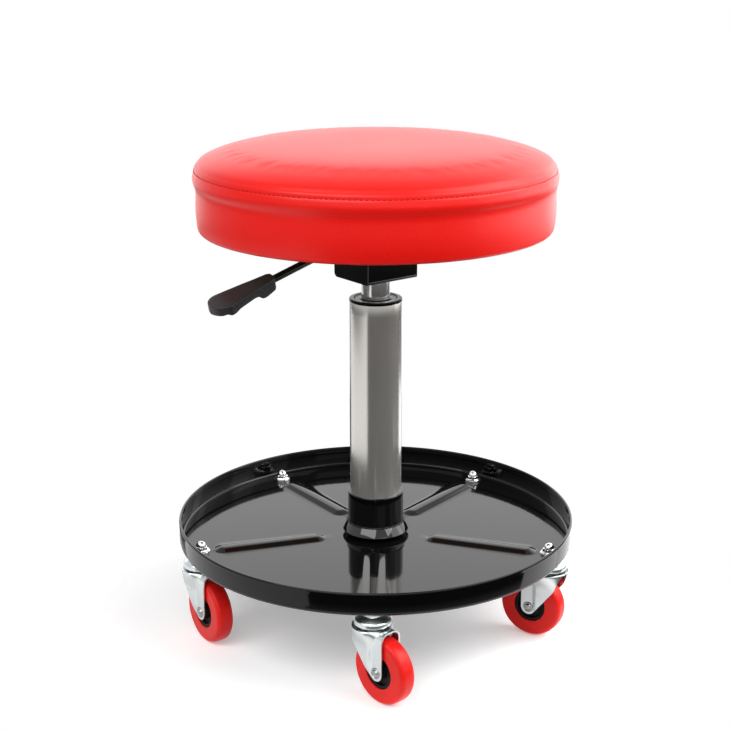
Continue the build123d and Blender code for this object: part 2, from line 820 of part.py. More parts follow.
def caster_axle():
    """The riveted axle."""
    body = disc(axle_radius, -fork_outer_half, fork_outer_half)
    body += disc(axle_head_radius, fork_outer_half, fork_outer_half + axle_head_height)
    body += disc(axle_head_radius, -fork_outer_half - axle_head_height, -fork_outer_half)
    ends = body.edges().filter_by(GeomType.CIRCLE).group_by(Axis.Z)
    return at_axle(fillet(ends[0] + ends[-1], axle_head_round))


def caster_tyre():
    half = wheel_width / 2
    body = ring(wheel_radius, wheel_radius - tyre_thickness, -half, half)
    return at_axle(fillet(widest_edges(body, 2), tyre_edge_radius))


def caster_hub():
    """The moulded hub: a boss on the axle, a web and a rim inside the tyre."""
    bore = axle_radius + running_gap
    boss_half = fork_inner_half - passing_gap
    rim_outer = wheel_radius - tyre_thickness
    rim_inner = rim_outer - hub_rim_wall
    upper = [
        (hub_boss_radius, boss_half),
        (hub_boss_radius, hub_web_width / 2),
        (rim_inner, hub_web_width / 2),
        (rim_inner, hub_rim_width / 2),
        (rim_outer, hub_rim_width / 2),
    ]
    lower = [(radius, -height) for radius, height in reversed(upper)]
    return at_axle(turned((bore, boss_half), *upper, *lower, (bore, -boss_half)))


def save(name, *pieces):
    """Write one node, made of one solid or of a group of separate ones."""
    solids = [solid for piece in pieces for solid in piece.solids()]
    export_step(solids[0] if len(solids) == 1 else Compound(children=solids), f"parts/{name}.step")


os.makedirs("parts", exist_ok=True)
save("tray_floor", tray_floor())
save("tray_rim", tray_rim())
save("column_socket", column_socket())
save("outer_tube", outer_tube())
save("tube_end_plate", tube_end_plate())
save("guide_bush", guide_bush())
save("wiper_ring", wiper_ring())
save("thrust_lower_race", thrust_lower_race())
save("thrust_balls", *thrust_balls())
save("thrust_upper_race", thrust_upper_race())
save("bump_stop", bump_stop())
save("rod_washer", rod_washer())
save("rod_clip", rod_clip())
save("piston_rod", piston_rod())
save("piston", piston())
save("piston_ring", piston_ring())
save("pressure_tube", pressure_tube())
save("rod_guide", rod_guide())
save("rod_seal", rod_seal())
save("valve_body", valve_body())
save("release_pin", release_pin())
save("taper_socket", taper_socket())
save("bracket_box", bracket_box())
save("bracket_plate", bracket_plate())
save("lever_pivot_pin", lever_pivot_pin())
save("lever_rod", lever_rod())
save("lever_grip", lever_grip())
save("seat_board", seat_board())
save("seat_foam", seat_foam())
save("seat_cover_top", seat_cover_top())
save("seat_cover_band", seat_cover_band())
save("cover_staples", *staples())
save("tee_nuts", *tee_nuts())
save("seat_screws", *seat_screws())
save("caster_stems", *at_each_caster(caster_stem()))
save("caster_races", *at_each_caster(caster_race()))
save("swivel_balls", *at_each_caster(*swivel_balls()))
save("nut_washers", *at_each_caster(nut_washer()))
save("dome_nuts", *at_each_caster(dome_nut()))
for index, place in enumerate(caster_places):
    save(f"caster_{index + 1}_fork", place * caster_fork())
    save(f"caster_{index + 1}_axle", place * caster_axle())
    save(f"caster_{index + 1}_tyre", place * caster_tyre())
    save(f"caster_{index + 1}_hub", place * caster_hub())
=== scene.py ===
"""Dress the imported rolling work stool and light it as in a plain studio.

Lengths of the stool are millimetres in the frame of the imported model, and a form becomes metres only when it is made
into a mesh. Lengths of the studio are metres.
"""

import logging
from collections.abc import Iterable, Sequence
from dataclasses import dataclass
from enum import Enum
from math import cos, pi, radians, sin, sqrt, tan

import bmesh
import bpy
import numpy as np
from mathutils import Matrix


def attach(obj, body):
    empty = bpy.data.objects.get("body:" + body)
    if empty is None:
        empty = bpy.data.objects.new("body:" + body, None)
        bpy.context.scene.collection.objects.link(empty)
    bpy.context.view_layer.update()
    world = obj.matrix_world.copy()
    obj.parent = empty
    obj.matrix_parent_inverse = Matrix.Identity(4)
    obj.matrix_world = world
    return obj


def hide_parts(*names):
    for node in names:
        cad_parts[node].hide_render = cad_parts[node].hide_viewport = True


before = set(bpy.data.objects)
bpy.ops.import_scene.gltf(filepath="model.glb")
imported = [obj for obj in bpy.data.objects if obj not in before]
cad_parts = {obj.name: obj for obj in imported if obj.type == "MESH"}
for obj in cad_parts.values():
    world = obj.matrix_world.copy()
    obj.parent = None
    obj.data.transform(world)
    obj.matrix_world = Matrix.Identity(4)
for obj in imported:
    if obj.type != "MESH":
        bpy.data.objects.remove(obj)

logging.basicConfig(level=logging.INFO, format="%(message)s")
log = logging.getLogger("stool")

MM = 0.001
Array = np.ndarray
Colour = tuple[float, float, float]


class Body(str, Enum):
    """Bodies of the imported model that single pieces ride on; each caster and wheel has its own besides."""

    BASE = "base"
    SEAT = "seat"
    LEVER = "lever"


class Slot(str, Enum):
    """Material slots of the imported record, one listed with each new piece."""

    ENAMEL = "black_enamel"
    SATIN = "satin_steel"
    CHROME = "chrome"
    ZINC = "zinc"
    PLASTIC = "black_plastic"
    HUB = "hub_plastic"
    TYRE = "red_tyre"
    VINYL = "red_vinyl"
    SEAL = "seal_rubber"


# Shader graphs


class Link:
    """An output socket that takes part in expressions, each operator adding one Math node."""

    def __init__(self, graph: "Graph", socket: bpy.types.NodeSocket) -> None:
        """Wrap a socket of a graph."""
        self.graph = graph
        self.socket = socket

    def math(self, operation: str, *others: "Link | float", reflected: bool = False) -> "Link":
        """Add one Math node.

        Args:
            operation: Name of the Math operation.
            others: The other operands.
            reflected: Whether this socket is the second operand.

        Returns:
            The node's result.
        """
        terms = [self, *others]
        if reflected:
            terms.reverse()
        return self.graph.node("ShaderNodeMath", {"operation": operation}, dict(enumerate(terms)))

    def __add__(self, other: "Link | float") -> "Link":
        """Sum."""
        return self.math("ADD", other)

    __radd__ = __add__

    def __sub__(self, other: "Link | float") -> "Link":
        """Difference."""
        return self.math("SUBTRACT", other)

    def __rsub__(self, other: float) -> "Link":
        """Difference with a number first."""
        return self.math("SUBTRACT", other, reflected=True)

    def __mul__(self, other: "Link | float") -> "Link":
        """Product."""
        return self.math("MULTIPLY", other)

    __rmul__ = __mul__

    def between(self, low: float, high: float) -> "Link":
        """Ease from 0 at low to 1 at high, clamped outside.

        Args:
            low: Value that gives 0.
            high: Value that gives 1.

        Returns:
            The eased share.
        """
        return self.graph.node(
            "ShaderNodeMapRange",
            {"interpolation_type": "SMOOTHSTEP"},
            {"Value": self, "From Min": low, "From Max": high, "To Min": 0.0, "To Max": 1.0},
        )


class Graph:
    """A material's or world's node tree, emptied and built by calls."""

    def __init__(self, tree: bpy.types.NodeTree) -> None:
        """Clear the tree."""
        self.tree = tree
        tree.nodes.clear()

    def node(self, kind: str, settings: dict | None = None, inputs: dict | None = None, output: int | str = 0) -> Link:
        """Add any node.

        Args:
            kind: The node's type name.
            settings: Attributes of the node, set before its inputs.
            inputs: Values or links by socket name or index.
            output: Which output to hand back.

        Returns:
            The chosen output.
        """
        made = self.tree.nodes.new(kind)
        for name, value in (settings or {}).items():
            setattr(made, name, value)
        for name, value in (inputs or {}).items():
            socket = made.inputs[name]
            if isinstance(value, Link):
                self.tree.links.new(value.socket, socket)
            elif isinstance(value, tuple) and len(value) == 3 and socket.type == "RGBA":
                socket.default_value = (*value, 1.0)
            else:
                socket.default_value = value
        return Link(self, made.outputs[output]) if made.outputs else Link(self, None)

    def place(self, scale: tuple[float, float, float] = (1.0, 1.0, 1.0)) -> Link:
        """The piece's own coordinates, in metres times a scale.

        Args:
            scale: Factor for each axis.

        Returns:
            The scaled point.
        """
        point = self.node("ShaderNodeTexCoord", output="Object")
        return self.node("ShaderNodeVectorMath", {"operation": "MULTIPLY"}, {0: point, 1: scale})

    def noise(self, size: float, detail: float = 3.0, stretch: tuple[float, float, float] = (1.0, 1.0, 1.0)) -> Link:
        """Noise whose grains are about one size across.

        Args:
            size: Grain size in millimetres.
            detail: Number of finer octaves.
            stretch: Factor of the grain along each axis.

        Returns:
            A value that lies around one half.
        """
        scale = tuple(1.0 / (size * MM * along) for along in stretch)
        inputs = {"Vector": self.place(scale), "Scale": 1.0, "Detail": detail}
        return self.node("ShaderNodeTexNoise", inputs=inputs)

    def blend(self, share: Link, first: Colour, second: Colour) -> Link:
        """Mix two colours.

        Args:
            share: 0 gives the first colour and 1 the second.
            first: Colour at 0.
            second: Colour at 1.

        Returns:
            The mixed colour.
        """
        inputs = {0: share, 6: (*first, 1.0), 7: (*second, 1.0)}
        return self.node("ShaderNodeMix", {"data_type": "RGBA"}, inputs, output=2)

    def bump(self, height: Link, depth: float) -> Link:
        """Turn a height into a normal.

        Args:
            height: Height as a share of the depth.
            depth: Full height in millimetres.

        Returns:
            The bumped normal.
        """
        return self.node("ShaderNodeBump", inputs={"Height": height, "Distance": depth * MM, "Strength": 1.0})

    def shown(self) -> Link:
        """1 for what the camera, a reflection or clear matter sees, and 0 for what lights the scene."""
        camera, glossy, clear = (
            self.node("ShaderNodeLightPath", output=f"Is {kind} Ray") for kind in ("Camera", "Glossy", "Transmission")
        )
        return camera.math("MAXIMUM", glossy).math("MAXIMUM", clear)

    def surface(self, **sockets: "Link | float | tuple") -> None:
        """End the graph in a Principled shader.

        Args:
            sockets: Values or links, with spaces in the socket names written as underscores.
        """
        inputs = {name.replace("_", " "): value for name, value in sockets.items()}
        shader = self.node("ShaderNodeBsdfPrincipled", inputs=inputs)
        self.node("ShaderNodeOutputMaterial", inputs={"Surface": shader})


# Finishes


@dataclass(frozen=True)
class Finish:
    """A procedural finish, made into one material and shared by its pieces.

    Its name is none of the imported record's slots, whose plain materials it would otherwise take up.
    """

    name: str
    colour: Colour
    roughness: float
    metallic: float = 0.0

    def material(self) -> bpy.types.Material:
        """The finish's material, made on first use."""
        found = bpy.data.materials.get(self.name)
        if found is None:
            found = bpy.data.materials.new(self.name)
            found.use_nodes = True
            self.fill(Graph(found.node_tree))
        return found

    def shade(self, factor: float) -> Colour:
        """The colour times a factor."""
        return tuple(min(1.0, part * factor) for part in self.colour)

    def fill(self, graph: Graph) -> None:
        """Build the nodes, which each kind of finish does in its own way."""
        raise NotImplementedError


@dataclass(frozen=True)
class Enamel(Finish):
    """Stoved gloss enamel over steel, with a faint orange peel."""

    peel: float = 0.004
    gloss: float = 0.24

    def fill(self, graph: Graph) -> None:
        """Build the nodes."""
        cloud = graph.noise(45.0, 2.0)
        peel = graph.noise(3.2, 1.0)
        graph.surface(
            Base_Color=graph.blend(cloud, self.shade(0.85), self.shade(1.15)),
            Roughness=self.roughness + 0.05 * (cloud - 0.5),
            Normal=graph.bump(peel, self.peel),
            Specular_IOR_Level=self.gloss,
        )


@dataclass(frozen=True)
class Satin(Finish):
    """Drawn steel or smooth chrome, with fine streaks along the column."""

    streak: float = 0.9
    stretch: tuple[float, float, float] = (1.0, 1.0, 120.0)

    def fill(self, graph: Graph) -> None:
        """Build the nodes."""
        streak = graph.noise(self.streak, 3.0, self.stretch)
        cloud = graph.noise(60.0, 2.0)
        graph.surface(
            Base_Color=graph.blend(streak, self.shade(0.95), self.shade(1.04)),
            Roughness=self.roughness + 0.06 * (streak - 0.5) + 0.06 * (cloud - 0.5),
            Metallic=self.metallic,
            Normal=graph.bump(streak, 0.001),
        )


@dataclass(frozen=True)
class Plating(Finish):
    """Zinc or chrome plate over pressed steel, slightly cloudy."""

    cloud_size: float = 9.0
    dents: float = 0.02

    def fill(self, graph: Graph) -> None:
        """Build the nodes."""
        cloud = graph.noise(self.cloud_size, 4.0)
        fine = graph.noise(1.1, 2.0)
        graph.surface(
            Base_Color=graph.blend(cloud, self.shade(0.9), self.shade(1.07)),
            Roughness=self.roughness + 0.35 * self.roughness * (cloud - 0.5),
            Metallic=self.metallic,
            Normal=graph.bump(cloud + 0.2 * fine, self.dents),
        )


@dataclass(frozen=True)
class Vinyl(Finish):
    """Grained upholstery vinyl with a soft gloss."""

    grain: float = 1.0
    grain_depth: float = 0.05
    gloss: float = 0.12
    coat: float = 0.34
    coat_roughness: float = 0.34

    def fill(self, graph: Graph) -> None:
        """Build the nodes: cells of grain, their valleys rougher than their tops and painted darker than them as shade
        in the hollows of the grain.
        """
        inputs = {"Vector": graph.place((1 / MM,) * 3), "Scale": 1.0 / self.grain, "Randomness": 1.0}
        cells = graph.node("ShaderNodeTexVoronoi", {"feature": "SMOOTH_F1"}, inputs)
        wander = graph.noise(1.6, 3.0)
        height = 1.0 - cells * (0.7 + 0.6 * wander)
        cloud = graph.noise(60.0, 2.0)
        # Painted shade: tone follows the grain's height, so the grain's valleys are coloured darker; the cloud adds
        # tone that differs at random.
        tone = height.between(0.1, 0.9) * 0.6 + 0.4 * cloud
        graph.surface(
            Base_Color=graph.blend(tone, self.shade(0.86), self.shade(1.06)),
            Roughness=self.roughness + 0.1 * (1.0 - height) + 0.06 * (cloud - 0.5),
            Normal=graph.bump(height, self.grain_depth),
            Specular_IOR_Level=self.gloss,
            Coat_Weight=self.coat,
            Coat_Roughness=self.coat_roughness,
        )


@dataclass(frozen=True)
class Moulded(Finish):
    """Moulded plastic, rubber or polyurethane with a fine spark grain."""

    grain: float = 0.35
    grain_depth: float = 0.02
    gloss: float = 0.4

    def fill(self, graph: Graph) -> None:
        """Build the nodes."""
        grain = graph.noise(self.grain, 2.0)
        cloud = graph.noise(20.0, 2.0)
        graph.surface(
            Base_Color=graph.blend(cloud, self.shade(0.88), self.shade(1.1)),
            Roughness=self.roughness + 0.1 * (grain - 0.5) + 0.06 * (cloud - 0.5),
            Normal=graph.bump(grain, self.grain_depth),
            Specular_IOR_Level=self.gloss,
        )


@dataclass(frozen=True)
class Plywood(Finish):
    """Birch plywood: face grain on the flat sides and darker plies on the edge."""

    ply: float = 1.5
    grain_stretch: tuple[float, float, float] = (1.0, 28.0, 1.0)
    ring_stretch: tuple[float, float, float] = (1.0, 6.0, 1.0)

    def fill(self, graph: Graph) -> None:
        """Build the nodes: the plies are sin(pi z / ply), eased."""
        grain = graph.noise(1.4, 4.0, self.grain_stretch)
        rings = graph.noise(14.0, 2.0, self.ring_stretch)
        height = graph.node("ShaderNodeSeparateXYZ", inputs={0: graph.place((1 / MM,) * 3)}, output=2)
        plies = (height * (pi / self.ply)).math("SINE").between(-0.2, 0.2)
        tone = 0.45 * grain + 0.3 * rings + 0.25 * plies
        graph.surface(
            Base_Color=graph.blend(tone, self.shade(0.6), self.shade(1.15)),
            Roughness=self.roughness + 0.1 * (grain - 0.5),
            Normal=graph.bump(grain, 0.06),
        )


@dataclass(frozen=True)
class Paper(Finish):
    """Studio floor paper, opaque under the stool and clear further out."""

    solid: float = 0.22
    clear: float = 0.36
    own_white: float = 0.3

    def fill(self, graph: Graph) -> None:
        """Build the nodes: a shaded floor that also shows some white of its own to the camera."""
        spread = graph.node("ShaderNodeVectorMath", {"operation": "LENGTH"}, {0: graph.place()}, "Value")
        graph.surface(
            Base_Color=self.colour,
            Roughness=self.roughness,
            Alpha=1.0 - spread.between(self.solid, self.clear),
            Emission_Color=(1.0, 1.0, 1.0, 1.0),
            Emission_Strength=self.own_white * graph.shown(),
        )


@dataclass(frozen=True)
class Thread(Finish):
    """Twisted sewing thread, or a cloth of it."""

    gloss: float = 0.12

    def fill(self, graph: Graph) -> None:
        """Build the nodes."""
        twist = graph.noise(0.3, 2.0)
        graph.surface(
            Base_Color=graph.blend(twist, self.shade(0.6), self.shade(1.3)),
            Roughness=self.roughness,
            Normal=graph.bump(twist, 0.05),
            Specular_IOR_Level=self.gloss,
        )


ENAMEL = Enamel("tray_enamel", (0.003, 0.003, 0.0032), 0.07)
# Painted highlight: grey, glossy enamel for the bracket's beads, much lighter than the black box, so that they show as
# light lines.
EDGE_HIGHLIGHT_ENAMEL = Enamel("edge_enamel_painted_highlight", (0.05, 0.05, 0.05), 0.16, gloss=0.9)
FOOT_ENAMEL = Enamel("foot_enamel", (0.003, 0.003, 0.003), 0.06, gloss=0.55)
BRACKET_ENAMEL = Enamel("bracket_enamel", (0.004, 0.004, 0.004), 0.16, peel=0.008, gloss=0.2)
TUBE_STEEL = Satin("column_steel", (0.58, 0.565, 0.535), 0.2, 0.72)
CHROME = Satin("cylinder_steel", (0.86, 0.86, 0.85), 0.14, 0.8, streak=0.5)
NUT_CHROME = Plating("nut_chrome", (0.68, 0.68, 0.67), 0.08, 1.0, cloud_size=4.0, dents=0.35)
ZINC = Plating("fork_zinc", (0.58, 0.615, 0.62), 0.26, 1.0, cloud_size=24.0, dents=0.004)
RIVET = Plating("rivet_steel", (0.3, 0.31, 0.31), 0.13, 1.0, cloud_size=2.0, dents=0.004)
BEARING = Plating("ground_steel", (0.6, 0.6, 0.62), 0.12, 1.0, cloud_size=2.0, dents=0.004)
ALUMINIUM = Plating("turned_aluminium", (0.75, 0.75, 0.76), 0.3, 1.0, cloud_size=3.0, dents=0.01)
COLLAR = Moulded("collar_plastic", (0.005, 0.005, 0.005), 0.16, grain=0.6, gloss=0.06)
GRIP = Moulded("grip_plastic", (0.024, 0.024, 0.025), 0.4, grain=0.5, grain_depth=0.04, gloss=0.24)
HUB = Moulded("wheel_hub_plastic", (0.008, 0.0075, 0.007), 0.45, grain=0.5, grain_depth=0.03, gloss=0.1)
SEAL = Moulded("rod_seal_rubber", (0.02, 0.02, 0.02), 0.7, grain=0.4, grain_depth=0.03)
TYRE = Moulded("tyre_polyurethane", (0.8, 0.014, 0.01), 0.34, grain=0.8, grain_depth=0.01, gloss=0.2)
VINYL = Vinyl("seat_vinyl", (0.87, 0.0075, 0.004), 0.4)
THREAD = Thread("seam_thread", (0.42, 0.01, 0.01), 0.8)
PLYWOOD = Plywood("seat_plywood", (0.55, 0.38, 0.22), 0.65)


# Forms


def shift(x: float = 0.0, y: float = 0.0, z: float = 0.0) -> Array:
    """A 4 by 4 matrix that moves by x, y and z."""
    matrix = np.eye(4)
    matrix[:3, 3] = x, y, z
    return matrix


def turn(axis: str, degrees: float) -> Array:
    """A 4 by 4 matrix that turns about X, Y or Z by the right-hand rule.

    Args:
        axis: Name of the axis.
        degrees: Angle.

    Returns:
        The matrix.
    """
    first, second = {"X": (1, 2), "Y": (2, 0), "Z": (0, 1)}[axis]
    matrix = np.eye(4)
    c, s = cos(radians(degrees)), sin(radians(degrees))
    matrix[first, first] = matrix[second, second] = c
    matrix[first, second], matrix[second, first] = -s, s
    return matrix


def ease(values: Array, low: float, high: float) -> Array:
    """Smooth step: 0 below low, 1 above high and 3 t^2 - 2 t^3 between.

    Args:
        values: Numbers to ease.
        low: Where the result is 0.
        high: Where the result is 1.

    Returns:
        The eased shares.
    """
    t = np.clip((values - low) / (high - low), 0.0, 1.0)
    return t * t * (3.0 - 2.0 * t)


def rounded(corners: Sequence[Sequence[float]], steps: int = 5, closed: bool = True) -> Array:
    """Round the corners of an outline with arcs.

    Each arc is tangent to both sides of its corner, and its points are the slerp of the two radii from the arc's
    centre to its ends.

    Args:
        corners: Rows of two coordinates and a radius; the radius may be 0.
        steps: Points on each arc beyond the first.
        closed: Whether the last corner joins the first; an open outline keeps its two ends.

    Returns:
        The points of the outline.
    """
    table = np.array(corners, float)
    spots, radius = table[:, :2], np.maximum(table[:, 2], 1e-4)
    before, after = np.roll(spots, 1, 0) - spots, np.roll(spots, -1, 0) - spots
    before /= np.linalg.norm(before, axis=1)[:, None]
    after /= np.linalg.norm(after, axis=1)[:, None]
    half = np.arccos(np.clip((before * after).sum(1), -1.0, 1.0)) / 2.0
    half = np.clip(half, 1e-3, pi / 2 - 1e-5)
    reach = radius / np.tan(half)
    middle = before + after
    middle /= np.maximum(np.linalg.norm(middle, axis=1), 1e-9)[:, None]
    centre = spots + middle * (radius / np.sin(half))[:, None]
    start = spots + before * reach[:, None] - centre
    stop = spots + after * reach[:, None] - centre
    swing = (pi - 2.0 * half)[:, None, None]
    share = np.linspace(0.0, 1.0, steps + 1)[None, :, None]
    arc = (np.sin((1 - share) * swing) * start[:, None] + np.sin(share * swing) * stop[:, None]) / np.sin(swing)
    points = centre[:, None] + arc
    if closed:
        return points.reshape(-1, 2)
    return np.vstack([spots[:1], points[1:-1].reshape(-1, 2), spots[-1:]])


def densified(points: Array, step: float) -> Array:
    """Divide the long sides of a closed outline evenly.

    Args:
        points: The outline.
        step: Longest side allowed.

    Returns:
        The outline with the added points.
    """
    loop = np.vstack([points, points[:1]])
    sides = np.diff(loop, axis=0)
    counts = np.maximum(1, np.ceil(np.linalg.norm(sides, axis=1) / step).astype(int))
    owner = np.repeat(np.arange(len(counts)), counts)
    first = np.concatenate([[0], np.cumsum(counts)[:-1]])
    share = (np.arange(len(owner)) - first[owner]) / counts[owner]
    return loop[owner] + sides[owner] * share[:, None]


def flowing(knots: Array, steps: int) -> Array:
    """A smooth curve through all knots.

    Between two knots it is the cubic Hermite curve. The tangent at a knot is the mean of the unit vectors along its
    two sides, each weighted by the other side's length, times the length of the side that is drawn.

    Args:
        knots: Points in a row.
        steps: Points for each side.

    Returns:
        The points of the curve.
    """
    ends = np.vstack([2 * knots[:1] - knots[1:2], knots, 2 * knots[-1:] - knots[-2:-1]])
    sides = np.diff(ends, axis=0)
    lengths = np.linalg.norm(sides, axis=1)[:, None]
    before, after = lengths[:-1], lengths[1:]
    speed = (sides[1:] / after * before + sides[:-1] / before * after) / (after + before)
    t = np.linspace(0.0, 1.0, steps + 1)[None, :-1, None]
    p, q = knots[:-1, None], knots[1:, None]
    length = lengths[1:-1, None]
    m, n = speed[:-1, None] * length, speed[1:, None] * length
    curve = (2 * t**3 - 3 * t**2 + 1) * p + (t**3 - 2 * t**2 + t) * m + (3 * t**2 - 2 * t**3) * q + (t**3 - t**2) * n
    return np.vstack([curve.reshape(-1, knots.shape[1]), knots[-1:]])


def mirrored(corners: Sequence[Sequence[float]]) -> list[tuple[float, float, float]]:
    """The lower half of a symmetric section, from rows of radius, height and rounding."""
    return [(radius, -height, edge) for radius, height, edge in reversed(corners)]


def round_steps(steps: int) -> Array:
    """Even angles round a full turn, in radians."""
    return np.arange(steps) * (2 * pi / steps)


def polar(radius: Array | float, height: Array | float, angles: Array) -> Array:
    """A grid of points about Z: x = r cos t, y = r sin t, z = height.

    Args:
        radius: Radii, as one number, a column or a grid.
        height: Heights, likewise.
        angles: Angles of the columns, in radians.

    Returns:
        The points, with a last axis of 3.
    """
    parts = (radius * np.cos(angles), radius * np.sin(angles), height + 0 * angles)
    return np.stack(np.broadcast_arrays(*parts), -1)


@dataclass
class Form:
    """Points in millimetres and faces as rows of indices."""

    points: Array
    faces: list[Array]

    @classmethod
    def grid(cls, points: Array, wrap_rows: bool = False, wrap_columns: bool = False, capped: bool = False) -> "Form":
        """Join a grid of points into quads.

        Args:
            points: Rows by columns by 3.
            wrap_rows: Whether the last row joins the first.
            wrap_columns: Whether the last column joins the first.
            capped: Whether the first and last rows are closed by fans about their means.

        Returns:
            The form.
        """
        rows, columns = points.shape[:2]
        index = np.arange(rows * columns).reshape(rows, columns)
        index = np.vstack([index, index[:1]]) if wrap_rows else index
        index = np.hstack([index, index[:, :1]]) if wrap_columns else index
        quads = np.stack([index[:-1, :-1], index[1:, :-1], index[1:, 1:], index[:-1, 1:]], -1).reshape(-1, 4)
        spots, faces = points.reshape(-1, 3), [quads]
        for row in (0, -1) if capped else ():
            rim = index[row]
            hub = np.full(len(rim) - 1, len(spots))
            spots = np.vstack([spots, points[row].mean(0)])
            faces.append(np.stack([rim[:-1], rim[1:], hub], -1))
        return cls(spots, faces)

    @classmethod
    def lathe(cls, profile: Array, steps: int, closed: bool = True) -> "Form":
        """Turn a profile of (radius, height) about Z.

        Args:
            profile: The profile's points.
            steps: Number of columns, evenly spaced.
            closed: Whether the profile joins itself; an open one is closed on the axis.

        Returns:
            The form.
        """
        grid = polar(profile[:, :1], profile[:, 1:2], round_steps(steps))
        return cls.grid(grid, wrap_rows=closed, wrap_columns=True, capped=not closed)

    @classmethod
    def sweep(cls, path: Array, section: Array, side: Sequence[float]) -> "Form":
        """Carry a closed section along a path and close its ends.

        Each section point (a, b) goes to path + a side + b up, where up is square to the path and to side.

        Args:
            path: Points in a row.
            section: Points of the section.
            side: A direction that is square to the whole path.

        Returns:
            The form.
        """
        along = np.gradient(path, axis=0)
        along /= np.linalg.norm(along, axis=1)[:, None]
        across = np.array(side, float)[None]
        up = np.cross(along, across)
        grid = path[:, None] + section[None, :, :1] * across[:, None] + section[None, :, 1:] * up[:, None]
        return cls.grid(grid, wrap_columns=True, capped=True)

    def placed(self, *matrices: Array) -> "Form":
        """Copies of the form, one for each matrix."""
        flat = np.hstack([self.points, np.ones((len(self.points), 1))])
        return Form.joined(Form((flat @ matrix.T)[:, :3], self.faces) for matrix in matrices)

    @staticmethod
    def joined(forms: Iterable["Form"]) -> "Form":
        """Several forms in one, each still a shell of its own."""
        points, faces, start = [], [], 0
        for form in forms:
            points.append(form.points)
            faces += [face + start for face in form.faces]
            start += len(form.points)
        return Form(np.vstack(points), faces)


@dataclass(frozen=True)
class Piece:
    """What a new piece is called, rides on, is made of and stands for."""

    name: str
    body: str
    slot: Slot
    finish: Finish
    stands_for: tuple[str, ...] = ()
    crease: float = 40.0

    def make(self, form: Form) -> bpy.types.Object:
        """Turn a form into the piece, with its material, shading and body.

        Args:
            form: Its shape, in millimetres.

        Returns:
            The object, on its body.
        """
        mesh = bpy.data.meshes.new(self.name)
        faces = [row for block in form.faces for row in block.tolist()]
        mesh.from_pydata((form.points * MM).tolist(), [], faces)
        work = bmesh.new()
        work.from_mesh(mesh)
        bmesh.ops.remove_doubles(work, verts=work.verts, dist=1e-6)
        bmesh.ops.recalc_face_normals(work, faces=work.faces)
        work.to_mesh(mesh)
        work.free()
        mesh.materials.append(self.finish.material())
        mesh.shade_smooth()
        mesh.set_sharp_from_angle(angle=radians(self.crease))
        piece = bpy.data.objects.new(self.name, mesh)
        bpy.context.scene.collection.objects.link(piece)
        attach(piece, self.body)
        if self.stands_for:
            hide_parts(*self.stands_for)
        log.info("%s: %d faces on %s", self.name, len(mesh.polygons), self.body)
        return piece


def refinish(finishes: dict[str, Finish]) -> None:
    """Give CAD nodes that stay their better materials.

    Args:
        finishes: Finish by node name.
    """
    for name, finish in finishes.items():
        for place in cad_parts[name].material_slots:
            place.material = finish.material()
        log.info("%s keeps its solid, as %s", name, finish.name)


# Sub-assemblies

TRAY_UNDERSIDE = 84.0
TRAY_SHEET = 1.2
TRAY_FLOOR = TRAY_UNDERSIDE + TRAY_SHEET
CASTER_ANGLES = tuple(269.2 + 72.0 * index for index in range(5))


